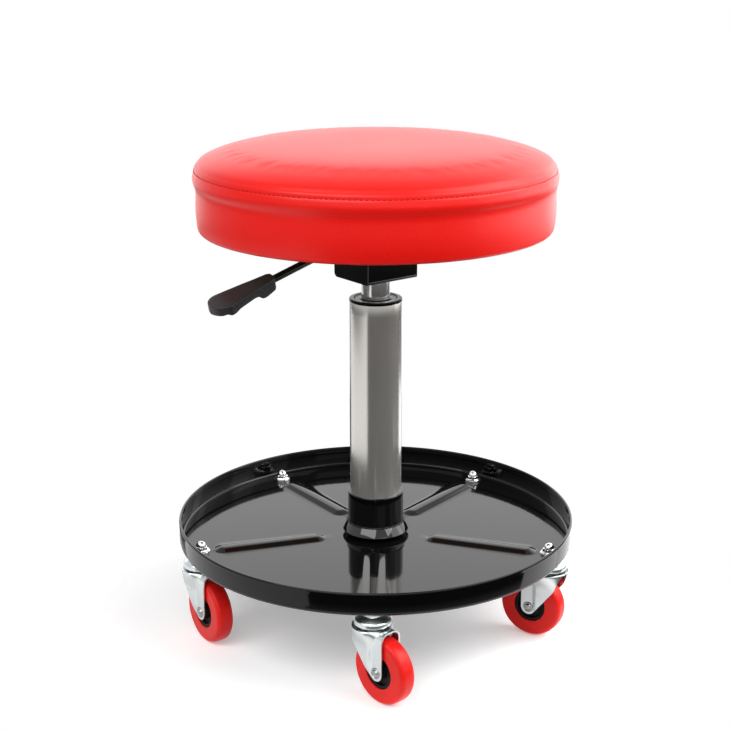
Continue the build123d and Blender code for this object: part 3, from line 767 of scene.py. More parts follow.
@dataclass
class Tray:
    """The pressed dish: floor with a rib towards each caster, bend, wall and folded rim."""

    radius: float = 192.0
    top: float = 106.5
    bend: float = 4.5
    rim: float = 2.4
    rim_height: float = 6.0
    rim_swell: float = 0.15
    rim_edge: float = 1.1
    hole: float = 14.0
    wall_start: float = 171.0
    rib_from: float = 62.0
    rib_to: float = 152.0
    rib_limit: float = 165.0
    rib_edge: float = 10.4
    rib_flat: float = 3.8
    rib_height: float = 2.75
    rib_softness: float = 0.07
    rib_columns: int = 10
    plain_columns: int = 26

    def wall(self) -> Array:
        """The section of bend, wall and rim, out along the underside and back along the floor."""
        r, top = self.radius, self.top
        inner, fold = r - TRAY_SHEET, top - self.rim_height
        corners = [
            (self.wall_start, TRAY_UNDERSIDE, 0),
            (r, TRAY_UNDERSIDE, self.bend),
            (r, top - 4.0, 6.0),
            (r + self.rim_swell, top - 1.6, 1.6),
            (r - 0.3, top, self.rim_edge),
            (r - self.rim, top, self.rim_edge),
            (r - self.rim, fold, 0.6),
            (inner, fold - TRAY_SHEET, 0.8),
            (inner, TRAY_FLOOR, self.bend - TRAY_SHEET),
            (self.wall_start, TRAY_FLOOR, 0),
        ]
        return rounded(corners, closed=False)

    def rows(self) -> Array:
        """Radii of the floor's rows, which lie close together at the ends of the ribs."""
        ends = [np.linspace(end - 6.5, end + 6.5, 14) for end in (self.rib_from - 4.0, self.rib_to + 4.0)]
        between = np.linspace(self.rib_from + 8.0, self.rib_to - 7.0, 8)
        return np.concatenate([[self.hole, 30.0, 42.0], ends[0], between, ends[1], [self.wall_start - 4.0]])

    def outline(self) -> Array:
        """The dish's section as a closed loop of (radius, height)."""
        rows = self.rows()
        under = np.stack([rows, np.full(len(rows), TRAY_UNDERSIDE)], -1)
        over = np.stack([rows[::-1], np.full(len(rows), TRAY_FLOOR)], -1)
        return np.vstack([under, self.wall(), over])

    def lines(self, radius: Array) -> Array:
        """Angles of the columns at each radius.

        In each rib's sector the middle columns run parallel to the rib, at angle = asin(offset / radius), and the
        others share the rest of the sector evenly.

        Args:
            radius: Radii of the rows.

        Returns:
            Rows by columns, in radians.
        """
        offsets = -np.linspace(self.rib_edge + 0.3, self.rib_flat - 0.3, self.rib_columns)
        offsets = np.concatenate([offsets, [0.0], -offsets[::-1]])
        near = np.arcsin(np.clip(offsets / np.maximum(radius[:, None], self.hole), -0.95, 0.95))
        share = np.linspace(0.0, 1.0, self.plain_columns + 2)[None, 1:-1]
        between = near[:, -1:] + share * (2 * pi / len(CASTER_ANGLES) - 2 * near[:, -1:])
        sector = np.hstack([near, between])
        return np.hstack([sector + radians(angle) for angle in CASTER_ANGLES])

    def form(self) -> Form:
        """The dish, with ribs that rise in even slopes.

        A floor point rises by rib height times (1 + |s| - |s - 1|) / 2, where s goes from 0 at the rib's edge to 1 at
        its flat top, and each |x| is softened to sqrt(x^2 + softness^2).
        """
        outline = self.outline()
        radius, height = outline[:, :1], outline[:, 1:]
        angles = self.lines(outline[:, 0])
        rise = np.zeros_like(angles)
        for angle in CASTER_ANGLES:
            turned = angles - radians(angle)
            along, across = radius * np.cos(turned), radius * np.sin(turned)
            spare = along - np.clip(along, self.rib_from, self.rib_to)
            share = (self.rib_edge - np.hypot(spare, across)) / (self.rib_edge - self.rib_flat)
            rise += (1 + np.hypot(share, self.rib_softness) - np.hypot(share - 1, self.rib_softness)) / 2
        height = height + np.where(radius < self.rib_limit, self.rib_height * rise, 0.0)
        return Form.grid(polar(radius, height, angles), wrap_rows=True, wrap_columns=True)

    def build(self) -> None:
        """Make the dish."""
        Piece("tray", Body.BASE.value, Slot.ENAMEL, ENAMEL, ("tray_floor", "tray_rim"), 50.0).make(self.form())


@dataclass
class Column:
    """The welded socket, the tube in it and the collar with its wiper ring."""

    foot_radius: float = 32.6
    foot_rim: float = 4.6
    foot_height: float = 13.0
    socket_radius: float = 27.0
    socket_top: float = 128.8
    tube_radius: float = 25.0
    tube_bore: float = 23.5
    tube_top: float = 320.2
    tube_edge: float = 0.2
    collar_radius: float = 25.2
    collar_top: float = 323.0
    recess_radius: float = 20.6
    recess_depth: float = 1.8
    bore: float = 13.55
    bush_low: float = 225.2
    bush_guide: float = 24.0
    bush_wall: float = 2.2
    wiper_radius: float = 19.8
    wiper_dish: float = 16.5
    wiper_lip: float = 14.2
    columns: int = 160

    def socket(self) -> Form:
        """The socket turned from its section, with the weld bead above its foot."""
        corners = [
            (self.tube_radius, TRAY_FLOOR, 0),
            (self.socket_radius, TRAY_FLOOR, 0),
            (self.socket_radius, self.socket_top, 0.7),
            (self.tube_radius, self.socket_top, 0),
        ]
        return Form.joined([Form.lathe(densified(rounded(corners), 8.0), self.columns), self.weld()])

    def foot(self) -> Form:
        """The foot turned from its section: it widens up from the tray to its rim, then slopes in to the socket."""
        inner, top = self.socket_radius - 0.4, TRAY_FLOOR + self.foot_height
        corners = [
            (inner, TRAY_FLOOR, 0),
            (self.socket_radius + 0.6, TRAY_FLOOR, 0.3),
            (self.foot_radius, TRAY_FLOOR + self.foot_rim, 0.9),
            (self.socket_radius + 0.8, top, 0.8),
            (inner, top + 0.4, 0),
        ]
        return Form.lathe(densified(rounded(corners), 8.0), self.columns)

    def weld(self) -> Form:
        """The weld: a ring of section radius 0.9 + 0.2 sin(52 t) + 0.15 sin(83 t + 1) about the socket."""
        t, lap = round_steps(312), round_steps(8)[:, None]
        thick = 0.9 + 0.2 * np.sin(52 * t) + 0.15 * np.sin(83 * t + 1.0)
        radius = self.socket_radius + 0.4 + thick * np.cos(lap)
        height = TRAY_FLOOR + self.foot_height + 0.5 + thick * np.sin(lap)
        return Form.grid(polar(radius, height, t), wrap_rows=True, wrap_columns=True)

    def tube(self) -> Form:
        """The plain tube, with a small round on its edges."""
        outer, inner, low, top, edge = self.tube_radius, self.tube_bore, TRAY_FLOOR, self.tube_top, self.tube_edge
        corners = [(outer, low, edge), (outer, top, edge), (inner, top, edge), (inner, low, edge)]
        return Form.lathe(densified(rounded(corners), 12.0), self.columns)

    def bush(self) -> Form:
        """The bush: a sleeve that fits the tube at both ends, the collar and the recess in the collar's top."""
        sleeve, low, edge = self.bore + self.bush_wall, self.bush_low, self.tube_top
        recess = self.collar_top - self.recess_depth
        corners = [
            (self.bore, low, 0),
            (self.tube_bore, low, 0),
            (self.tube_bore, low + self.bush_guide, 0),
            (sleeve, low + self.bush_guide, 0),
            (sleeve, edge - self.bush_guide, 0),
            (self.tube_bore, edge - self.bush_guide, 0),
            (self.tube_bore, edge, 0),
            (self.collar_radius, edge, 0.3),
            (self.collar_radius, self.collar_top, 0.9),
            (self.recess_radius, self.collar_top, 0.5),
            (self.recess_radius - 0.4, recess, 0.3),
            (self.bore, recess, 0),
        ]
        return Form.lathe(rounded(corners), self.columns)

    def wiper(self) -> Form:
        """The wiper ring, dished towards the cylinder."""
        low = self.collar_top - self.recess_depth
        corners = [
            (self.bore, low, 0),
            (self.wiper_radius, low, 0.1),
            (self.wiper_radius, low + 1.4, 0.4),
            (self.wiper_dish, low + 1.0, 1.5),
            (self.wiper_lip, low + 1.6, 0.3),
            (self.bore, low + 1.3, 0.1),
        ]
        return Form.lathe(rounded(corners), 128)

    def build(self) -> None:
        """Make the pieces and finish the solids inside."""
        base = Body.BASE.value
        Piece("socket", base, Slot.ENAMEL, ENAMEL, ("column_socket",), 50.0).make(self.socket())
        Piece("socket_foot", base, Slot.ENAMEL, FOOT_ENAMEL, (), 50.0).make(self.foot())
        Piece("column_tube", base, Slot.SATIN, TUBE_STEEL, ("outer_tube",), 50.0).make(self.tube())
        Piece("collar", base, Slot.PLASTIC, COLLAR, ("guide_bush",), 50.0).make(self.bush())
        Piece("wiper", base, Slot.SEAL, COLLAR, ("wiper_ring",), 50.0).make(self.wiper())
        refinish({"tube_end_plate": ZINC, "thrust_lower_race": BEARING, "thrust_balls": BEARING})


@dataclass
class GasSpring:
    """The chromed cylinder; the rod and what is on it keep their solids."""

    low: float = 110.9
    top: float = 370.8
    radius: float = 13.5
    wall: float = 1.6
    taper: float = 28.0
    taper_drop: float = 0.7

    def cylinder(self) -> Form:
        """The cylinder turned from its section, tapered at the top."""
        tip = self.radius - self.taper_drop
        bore = self.radius - self.wall
        corners = [
            (bore, self.low, 0.3),
            (self.radius, self.low, 0.5),
            (self.radius, self.top - self.taper, 0),
            (tip, self.top, 0.5),
            (bore, self.top, 0.3),
        ]
        return Form.lathe(densified(rounded(corners), 12.0), 128)

    def build(self) -> None:
        """Make the cylinder and finish the solids inside it."""
        Piece("cylinder", Body.SEAT.value, Slot.CHROME, CHROME, ("pressure_tube",), 50.0).make(self.cylinder())
        refinish(
            {
                "piston_rod": CHROME,
                "piston": ALUMINIUM,
                "piston_ring": SEAL,
                "thrust_upper_race": BEARING,
                "bump_stop": SEAL,
                "rod_washer": ZINC,
                "rod_clip": BEARING,
                "rod_guide": ALUMINIUM,
                "rod_seal": SEAL,
                "valve_body": ALUMINIUM,
                "release_pin": CHROME,
            }
        )


@dataclass
class Bracket:
    """The enamelled box and plate under the seat."""

    angle: float = 38.0
    length: float = 58.2
    width: float = 52.0
    low: float = 342.8
    high: float = 389.1
    bead: float = 0.5
    bead_sunk: float = 0.1
    lip_height: float = 2.6

    def trim(self) -> Form:
        """The folded seam up the front corner and the lip low on the right side, as thin round beads, coloured lighter
        than the box as a painted highlight.
        """
        t = round_steps(10)
        section = self.bead * np.stack([np.cos(t), np.sin(t)], -1)
        half, side = self.length / 2, self.bead_sunk - self.width / 2
        seam = np.array([(self.bead_sunk - half, side, height) for height in (self.low + 1.4, self.high - 0.5)])
        lip = np.array([(along, side, self.low + self.lip_height) for along in (0.5 - half, half - 1.0)])
        beads = [Form.sweep(seam, section, (1, 0, 0)), Form.sweep(lip, section, (0, 1, 0))]
        return Form.joined(beads).placed(turn("Z", self.angle))

    def build(self) -> None:
        """Make the trim and finish the solids."""
        Piece("bracket_trim", Body.SEAT.value, Slot.ENAMEL, EDGE_HIGHLIGHT_ENAMEL).make(self.trim())
        refinish(
            {
                "bracket_box": BRACKET_ENAMEL,
                "bracket_plate": BRACKET_ENAMEL,
                "taper_socket": BRACKET_ENAMEL,
                "lever_pivot_pin": ZINC,
                "seat_board": PLYWOOD,
                "tee_nuts": ZINC,
                "seat_screws": ZINC,
                "cover_staples": ZINC,
            }
        )


@dataclass
class Lever:
    """The bent rod and its moulded grip."""

    angle: float = 218.0
    rod_z: float = 379.5
    bend_reach: float = 38.6
    slope: float = 15.9
    start: float = 116.8
    length: float = 68.0
    near_width: float = 12.4
    chamfer: float = 2.2
    far_radius: float = 13.5
    rise: float = 5.0
    roll: float = 10.0
    end_round: float = 1.6
    top_power: float = 0.2
    under_power: float = 0.26
    underside: tuple[tuple[float, float], ...] = (
        (0.0, -7.6),
        (4.0, -8.4),
        (18.0, -8.6),
        (21.5, -5.2),
        (25.0, -4.0),
        (32.0, -4.0),
        (40.0, -4.4),
        (45.0, -4.8),
        (50.0, -6.4),
        (55.0, -6.2),
        (59.0, -3.8),
        (63.0, -4.2),
        (68.0, -3.4),
    )

    def frame(self) -> Array:
        """The matrix of the grip: X along the rod and away from the column, with the viewer's side rolled down."""
        drop = (self.start - self.bend_reach) * tan(radians(self.slope))
        place = shift(self.start, 0.0, self.rod_z - drop)
        return turn("Z", self.angle) @ place @ turn("Y", self.slope) @ turn("X", -self.roll)

    def half_width(self, along: Array) -> Array:
        """Half the grip's width: a cut-off near end, straight sides tangent to a round far end.

        Args:
            along: Distances from the near end.

        Returns:
            w = near / 2 + slope x up to the tangent, then sqrt(R^2 - (x - c)^2).
        """
        centre, near = self.length - self.far_radius, self.near_width / 2
        gap = centre - self.chamfer
        reach = sqrt(gap**2 + near**2)
        lean = np.arcsin(self.far_radius / reach) - np.arctan2(near, gap)
        side = near + (along - self.chamfer) * tan(lean)
        nose = near - self.chamfer + along
        round_end = np.sqrt(np.maximum(self.far_radius**2 - (along - centre) ** 2, 0.0))
        tangent = centre - self.far_radius * sin(lean)
        return np.where(along < self.chamfer, nose, np.where(along < tangent, side, round_end))

    def grip(self) -> Form:
        """The grip lofted along X.

        Each section is a block with superelliptic edges, y = half |cos t|^p and z = centre + tall |sin t|^p with the
        signs of cos t and sin t. Half width and underside follow the distance from the near end, the underside along
        a smooth curve with the finger recesses. The sections crowd together at the ends, where flat caps close them.
        """
        edge = self.end_round
        near = edge * (1 - np.cos(np.linspace(0, pi / 2, 6)))[:-1]
        body = np.linspace(edge, self.length - edge, 90)
        far = self.length - edge + edge * np.sin(np.linspace(0, pi / 2, 7))[1:]
        along = np.concatenate([near, body, far])
        half = np.maximum(self.half_width(along), 0.0)
        under = flowing(np.array(self.underside), 8)
        low = np.interp(along, under[:, 0], under[:, 1])
        centre, tall = (self.rise + low) / 2, (self.rise - low) / 2
        t = round_steps(64)
        c, s = np.cos(t), np.sin(t)
        power = np.where(s > 0, self.top_power, self.under_power)
        across, up = (np.sign(part) * np.abs(part) ** power for part in (c, s))
        y, z = half[:, None] * across, centre[:, None] + tall[:, None] * up
        grid = np.stack([along[:, None] + 0 * y, y, z], -1)
        return Form.grid(grid, wrap_columns=True, capped=True).placed(self.frame())

    def build(self) -> None:
        """Make the grip and finish the rod."""
        Piece("grip", Body.LEVER.value, Slot.PLASTIC, GRIP, ("lever_grip",), 35.0).make(self.grip())
        refinish({"lever_rod": ENAMEL})


@dataclass
class Cushion:
    """The padded seat: crown, seam, roll, drawn-in band and turned-in hem.

    The rows of side say how far the side lies out from the seam and above it, from the crown's edge down the band.
    """

    seam_radius: float = 165.2
    seam_z: float = 446.5
    seam_swell: float = 1.9
    crown_rise: float = 23.3
    crown_swell: float = 3.2
    foot_swell: float = 0.1
    side: tuple[tuple[float, float], ...] = (
        (-2.1, 7.9),
        (0.6, 4.0),
        (1.9, 0.0),
        (2.9, -4.2),
        (3.2, -7.6),
        (2.6, -11.2),
        (1.4, -14.8),
        (0.9, -18.6),
        (1.0, -24.0),
        (1.3, -33.0),
        (1.0, -43.0),
    )
    low: float = 390.4
    corner: float = 4.5
    hem: float = 26.0
    sheet: float = 1.2
    board_gap: float = 4.9
    board_height: float = 12.4
    stitches: int = 218
    stitch_radius: float = 0.36
    stitch_half: float = 1.4
    stitch_swell: float = 1.8
    upper_seam: float = 161.6
    groove: float = 0.45
    groove_width: float = 0.9
    pull: float = 0.07
    pull_reach: float = 7.0
    sway: float = 0.22
    columns: int = 240
    cloth_frames: int = 20
    cloth_quality: int = 5
    cloth_mass: float = 0.3
    cloth_pressure: float = 4.0
    cloth_stiffness: float = 15.0
    cloth_bending: float = 0.4
    cloth_excess: float = 0.001
    cloth_cap: float = 0.6
    cloth_levels: int = 10
    crown_over: float = 420.0

    def outline(self) -> Array:
        """The section from the top of the crown round to the inner edge of the hem.

        The crown follows z = seam + rise sqrt(1 - (r / reach)^4) up to its edge. From there one smooth curve goes
        over the edge, the seam and the roll, draws in at the waist and runs down the band, and a quarter circle
        turns the band under.
        """
        reach = self.seam_radius + self.crown_swell
        share = np.concatenate([np.linspace(0.0, 0.72, 20), np.linspace(0.75, 0.94, 14)])
        crown = np.stack([share * reach, self.seam_z + self.crown_rise * np.sqrt(1 - share**4)], -1)
        band, foot = self.seam_radius + self.foot_swell, self.low + self.corner
        knots = np.vstack([crown[-2:], np.array([self.seam_radius, self.seam_z]) + self.side, (band, foot)])
        side = flowing(knots, 5)[6:]
        a = np.linspace(0.0, pi / 2, 8)[1:]
        centre = band - self.corner
        turn_in = np.stack([centre + self.corner * np.cos(a), foot - self.corner * np.sin(a)], -1)
        hem = np.stack([np.linspace(centre, self.seam_radius - self.hem, 6)[1:], np.full(5, self.low)], -1)
        return np.vstack([crown, side, turn_in, hem])

    def unevenness(self, outline: Array, t: Array) -> Array:
        """How far the cover lies off its outline, along the normal.

        Both seams are grooves, g = -depth exp(-(d / width)^2), d being the distance along the outline. The vinyl
        pulls at them in small uneven waves, a sum of sines of the angle that fades with d. The band sways in and out
        by a sum of slower sines.

        Args:
            outline: The section's points.
            t: Angles of the columns, in radians.

        Returns:
            Rows by columns.
        """
        run = np.concatenate([[0.0], np.cumsum(np.linalg.norm(np.diff(outline, axis=0), axis=1))])
        lift = np.zeros((len(outline), len(t)))
        waves = np.sin(31 * t + 1.3) + 0.8 * np.sin(47 * t + 0.4) * np.sin(5 * t) + 0.6 * np.sin(73 * t + 2.0)
        upper = np.abs(outline[:, 0] - self.upper_seam)
        lower = np.abs(outline - (self.seam_radius + self.seam_swell, self.seam_z)).sum(1)
        for gap in (upper, lower):
            away = run - run[np.argmin(gap)]
            lift -= self.groove * np.exp(-((away / self.groove_width) ** 2))[:, None]
            fade = np.exp(-np.abs(away) / self.pull_reach) * (1 - np.exp(-((away / 1.5) ** 2)))
            lift += self.pull * waves * fade[:, None]
        slow = np.sin(3 * t + 0.7) + 0.7 * np.sin(5 * t + 2.1) + 0.5 * np.sin(8 * t + 4.0)
        on_band = ease(self.seam_z - outline[:, 1], 6.0, 20.0) * ease(outline[:, 1], self.low, self.low + 12.0)
        return lift + self.sway * slow * on_band[:, None]

    def form(self) -> Form:
        """The cover as a closed shell: the uneven outline turned about Z, and closed along the board."""
        outline, t = self.outline(), round_steps(self.columns)
        along = np.gradient(outline, axis=0)
        normal = np.stack([-along[:, 1], along[:, 0]], -1) / np.linalg.norm(along, axis=1)[:, None]
        off_axis = (outline[:, :1] > 1.0)[:, None]
        skin = outline[:, None] + self.unevenness(outline, t)[..., None] * normal[:, None] * off_axis
        under, over = self.low + self.sheet, self.low + self.sheet + self.board_height
        edge = self.seam_radius - self.board_gap
        inner = np.array(
            [
                (self.seam_radius - self.hem, under),
                (self.seam_radius - self.corner - self.sheet, under),
                (edge, self.low + 6.0),
                (edge, over),
                (0.0, over),
            ]
        )
        rows = np.vstack([skin, inner[:, None] + np.zeros((1, len(t), 1))])
        return Form.grid(polar(rows[..., 0], rows[..., 1], t), wrap_columns=True, capped=True)

    def settle(self, cushion: bpy.types.Object) -> None:
        """Let the cover settle as cloth under pressure, held at the seam, at the hem and on the board.

        A point that the cloth moved by d moves by cap tanh(d / cap).

        Args:
            cushion: The cover.
        """
        mesh, count = cushion.data, len(cushion.data.vertices)
        rest = np.empty(count * 3)
        mesh.vertices.foreach_get("co", rest)
        rest = rest.reshape(-1, 3)
        radius, height = np.hypot(rest[:, 0], rest[:, 1]) / MM, rest[:, 2] / MM
        slack = ease(np.hypot(radius - self.seam_radius - self.seam_swell, height - self.seam_z), 0.6, 7.0)
        off_board = (radius > self.seam_radius - self.board_gap + 0.2) | (height > self.crown_over)
        slack *= ease(height, self.low + 0.5, self.low + 9.0) * off_board
        copy = bpy.data.objects.new("cover_cloth", mesh.copy())
        bpy.context.scene.collection.objects.link(copy)
        held = copy.vertex_groups.new(name="held")
        levels = np.round((1.0 - slack) * self.cloth_levels).astype(int)
        for level in range(1, self.cloth_levels + 1):
            held.add(np.nonzero(levels == level)[0].tolist(), level / self.cloth_levels, "REPLACE")
        cloth = copy.modifiers.new("cloth", "CLOTH")
        cloth.point_cache.frame_end = self.cloth_frames
        settings = cloth.settings
        settings.quality, settings.mass = self.cloth_quality, self.cloth_mass
        settings.tension_stiffness = settings.compression_stiffness = self.cloth_stiffness
        settings.bending_stiffness = self.cloth_bending
        settings.vertex_group_mass = held.name
        settings.use_pressure, settings.uniform_pressure_force = True, self.cloth_pressure
        settings.shrink_min = -self.cloth_excess
        settings.effector_weights.gravity = 0.0
        scene = bpy.context.scene
        for frame_number in range(1, self.cloth_frames + 1):
            scene.frame_set(frame_number)
        moved = np.empty(count * 3)
        copy.evaluated_get(bpy.context.evaluated_depsgraph_get()).data.vertices.foreach_get("co", moved)
        move = moved.reshape(-1, 3) - rest
        length = np.linalg.norm(move, axis=1, keepdims=True)
        cap = self.cloth_cap * MM
        move *= cap * np.tanh(length / cap) / np.maximum(length, 1e-9)
        mesh.vertices.foreach_set("co", (rest + move).ravel())
        mesh.update()
        scene.frame_set(1)
        log.info("cushion settled: the cover moved %.2f mm at most", float(length.max() / MM))
        bpy.data.objects.remove(copy)

    def seam(self) -> Form:
        """The stitches along the seam: small ellipsoids that lie in the groove, r = a sin t and z = -b cos t."""
        t = np.linspace(0.0, pi, 7)[1:-1]
        profile = np.stack([self.stitch_radius * np.sin(t), -self.stitch_half * np.cos(t)], -1)
        lay = shift(self.seam_radius + self.stitch_swell, 0.0, self.seam_z) @ turn("X", 90.0)
        places = [turn("Z", 360.0 * index / self.stitches) @ lay for index in range(self.stitches)]
        return Form.lathe(profile, 6, closed=False).placed(*places)

    def build(self) -> None:
        """Make the cushion and its stitches."""
        nodes = ("seat_foam", "seat_cover_top", "seat_cover_band")
        cushion = Piece("cushion", Body.SEAT.value, Slot.VINYL, VINYL, nodes, 50.0).make(self.form())
        self.settle(cushion)
        Piece("seam_stitches", Body.SEAT.value, Slot.VINYL, THREAD).make(self.seam())


@dataclass
class Caster:
    """One swivel caster: pressed fork, riveted axle, tyre and hub.

    The knee is where the fork's leading edge bends, as place along the heading and height. The rows of rivet are
    radius, height above the fork's face and rounding.
    """

    number: int
    angle: float
    heading: float
    ring_radius: float = 174.5
    trail: float = 15.0
    wheel_radius: float = 31.0
    wheel_width: float = 17.0
    shoulder: float = 4.2
    tread_half: float = 2.5
    tread_crown: float = 0.5
    hub_radius: float = 16.0
    hub_bore: float = 3.05
    hub_rim: float = 3.0
    hub_half: float = 7.3
    boss_radius: float = 7.0
    boss_half: float = 9.4
    web_half: float = 4.0
    fork_half: float = 11.5
    fork_sheet: float = 1.8
    fork_edge: float = 0.35
    lead: float = 18.5
    tail: float = 22.5
    crown: float = 70.0
    leg_top: float = 52.0
    joggle: float = 1.8
    joggle_along: tuple[float, float] = (7.2, 10.2)
    joggle_up: tuple[float, float] = (24.0, 36.0)
    seat_radius: float = 19.5
    seat_along: tuple[float, float] = (7.0, 17.5)
    seat_shoulder: float = 1.4
    arch_shoulder: float = 8.0
    foot_radius: float = 7.5
    knee: tuple[float, float] = (-11.4, 52.5)
    rivet: tuple[tuple[float, float, float], ...] = (
        (0.0, 1.9, 0.0),
        (2.5, 1.6, 1.5),
        (3.3, 0.2, 0.3),
        (4.2, 0.1, 0.2),
        (4.8, 0.8, 0.3),
        (5.3, 0.05, 0.2),
        (5.0, -0.3, 0.0),
        (3.0, -0.3, 0.0),
    )

    def place(self) -> Array:
        """The matrix from the kingpin's own frame, X along the heading, to the frame of the model."""
        return turn("Z", self.angle) @ shift(self.ring_radius) @ turn("Z", self.heading - self.angle)

    def leading_edge(self, height: Array) -> Array:
        """Where the leading edge lies at each height.

        Straight from the crown to the knee, straight on to its tangent point on the foot's circle, then the circle.

        Args:
            height: Heights above the floor.

        Returns:
            Distance ahead of the kingpin, negative.
        """
        (kx, kz), r = self.knee, self.foot_radius
        gap = np.array([self.trail - kx, self.wheel_radius - kz])
        reach = np.linalg.norm(gap)
        lean = np.arctan2(gap[1], gap[0]) - np.arcsin(r / reach)
        touch = np.array([kx, kz]) + sqrt(reach**2 - r**2) * np.array([cos(lean), sin(lean)])
        slant = kx + (touch[0] - kx) * (kz - height) / (kz - touch[1])
        upper = kx + (-self.lead - kx) * (height - kz) / (self.crown - kz)
        arc = self.trail - np.sqrt(np.maximum(r**2 - (height - self.wheel_radius) ** 2, 0.0))
        return np.where(height > kz, upper, np.where(height > touch[1], slant, arc))

    def trailing_edge(self, height: Array) -> Array:
        """Where the trailing edge lies: upright down to the axle, then round the foot's circle."""
        below = np.minimum(height - self.wheel_radius, 0.0)
        return self.trail + np.sqrt(np.maximum(self.foot_radius**2 - below**2, 0.0))

    def flare(self, x: Array) -> tuple[Array, Array]:
        """Half the crown's width and the radius of its shoulder, near the kingpin and past it.

        Near it the width is that of the race's round seat, sqrt(R^2 - x^2), cut off square at the front by keeping
        the root's argument at 40 or more. Past it the width is that of a plain arch.

        Args:
            x: Places along the heading.

        Returns:
            The half widths and the radii.
        """
        share = 1.0 - ease(x, *self.seat_along)
        wide = np.sqrt(np.maximum(self.seat_radius**2 - np.minimum(x, 16.0) ** 2, 40.0))
        shoulder = self.arch_shoulder - (self.arch_shoulder - self.seat_shoulder) * share
        return self.fork_half + (wide - self.fork_half) * share, shoulder

    def leg_half(self, x: Array, height: Array) -> Array:
        """Half the distance between the legs: flat over the axle, joggled out towards the kingpin.

        Args:
            x: Places along the heading.
            height: Heights above the floor.

        Returns:
            The half distances.
        """
        return self.fork_half + self.joggle * (1 - ease(x, *self.joggle_along)) * ease(height, *self.joggle_up)

    def between_edges(self, height: Array, columns: Array) -> Array:
        """Places along the heading, from the leading edge at column share 0 to the trailing edge at 1.

        Args:
            height: Heights above the floor.
            columns: Shares of the way across.

        Returns:
            The places.
        """
        lead, trail = self.leading_edge(height), self.trailing_edge(height)
        return lead + (trail - lead) * columns

    def fork(self) -> Form:
        """The fork's outer skin, from one foot over the crown to the other.

        Rows climb the leg, rise to the shoulder, turn over it and cross the crown; columns run from the leading to
        the trailing edge. The leg stands at y = half, joggled out towards the kingpin, and flares near it to the
        round seat of the race, y = sqrt(R^2 - x^2). Past the seat the shoulder is a plain arch.
        """
        columns = (0.5 - 0.5 * np.cos(np.linspace(0, pi, 41)))[None, :]
        over = -self.lead + (self.tail + self.lead) * columns
        half, bend = self.flare(over)

        foot = self.wheel_radius - self.foot_radius * np.cos(np.linspace(0.0, 1.0, 12) * pi / 2)
        climb = np.concatenate([foot, np.linspace(self.wheel_radius, self.leg_top, 10)[1:]])
        height = climb[:, None] + 0 * columns
        x = self.between_edges(height, columns)
        leg = np.stack([x, self.leg_half(x, height), height], -1)

        share = np.linspace(0.0, 1.0, 11)[1:, None]
        height = self.leg_top + (self.crown - bend - self.leg_top) * share
        x = self.between_edges(height, columns)
        y = self.leg_half(x, np.full_like(x, self.leg_top))
        y = y + (self.flare(x)[0] - y) * ease(height, self.leg_top - 1, self.crown - 1.5)
        rise = np.stack([x, y, height], -1)

        phi = np.linspace(0.0, pi / 2, 9)[1:, None]
        y, height = half - bend + bend * np.cos(phi), self.crown - bend + bend * np.sin(phi)
        shoulder = np.stack([over + 0 * y, y, height], -1)

        y = (half - bend) * np.linspace(1.0, 0.0, 9)[1:, None]
        top = np.stack([over + 0 * y, y, self.crown + 0 * y], -1)

        side = np.vstack([leg, rise, shoulder, top])
        other = side[:-1][::-1] * np.array([1.0, -1.0, 1.0])
        return Form.grid(np.vstack([side, other]))

    def tyre(self) -> Form:
        """The tyre turned from its section: flat sides, round shoulders and a slightly crowned tread."""
        half, r = self.wheel_width / 2, self.wheel_radius
        upper = [
            (r, self.tread_half, 20.0),
            (r - self.tread_crown, half, self.shoulder),
            (self.hub_radius, half, 0.4),
        ]
        return Form.lathe(densified(rounded([*mirrored(upper), *upper], 8), 3.0), 96)

    def hub(self) -> Form:
        """The hub turned from its section: rim, recessed web and boss."""
        rim = self.hub_radius - self.hub_rim
        upper = [
            (self.hub_bore, self.boss_half, 0),
            (self.boss_radius, self.boss_half, 0.6),
            (self.boss_radius + 0.4, self.web_half, 0.6),
            (rim - 0.6, self.web_half, 0.8),
            (rim, self.hub_half, 0.6),
            (self.hub_radius, self.hub_half, 0),
        ]
        return Form.lathe(rounded([*upper, *mirrored(upper)]), 72)

    def axle(self) -> Form:
        """The axle: a shank, and at each end a domed rivet in a shallow round seat on the fork's face."""
        end = [(radius, self.fork_half + height, edge) for radius, height, edge in self.rivet]
        return Form.lathe(rounded([*end, *mirrored(end)], closed=False), 40, closed=False)

    def build(self) -> None:
        """Make the caster's pieces, the fork first."""
        number, place = self.number, self.place()
        body, wheel = f"caster_{number}", f"wheel_{number}"
        at_axle = place @ shift(self.trail, 0.0, self.wheel_radius) @ turn("X", 90.0)
        piece = Piece(f"fork_{number}", body, Slot.ZINC, ZINC, (f"{body}_fork",), 50.0)
        fork = piece.make(self.fork().placed(place))
        solidify = fork.modifiers.new("sheet", "SOLIDIFY")
        solidify.thickness, solidify.offset = self.fork_sheet * MM, -1.0
        solidify.use_even_offset = True
        bevel = fork.modifiers.new("edge", "BEVEL")
        bevel.width, bevel.segments = self.fork_edge * MM, 2
        bevel.limit_method, bevel.angle_limit = "ANGLE", radians(60)
        axle = Piece(f"axle_{number}", body, Slot.ZINC, RIVET, (f"{body}_axle",))
        tyre = Piece(f"tyre_{number}", wheel, Slot.TYRE, TYRE, (f"{body}_tyre",), 60.0)
        hub = Piece(f"hub_{number}", wheel, Slot.HUB, HUB, (f"{body}_hub",), 35.0)
        for piece, form in ((axle, self.axle()), (tyre, self.tyre()), (hub, self.hub())):
            piece.make(form.placed(at_axle))


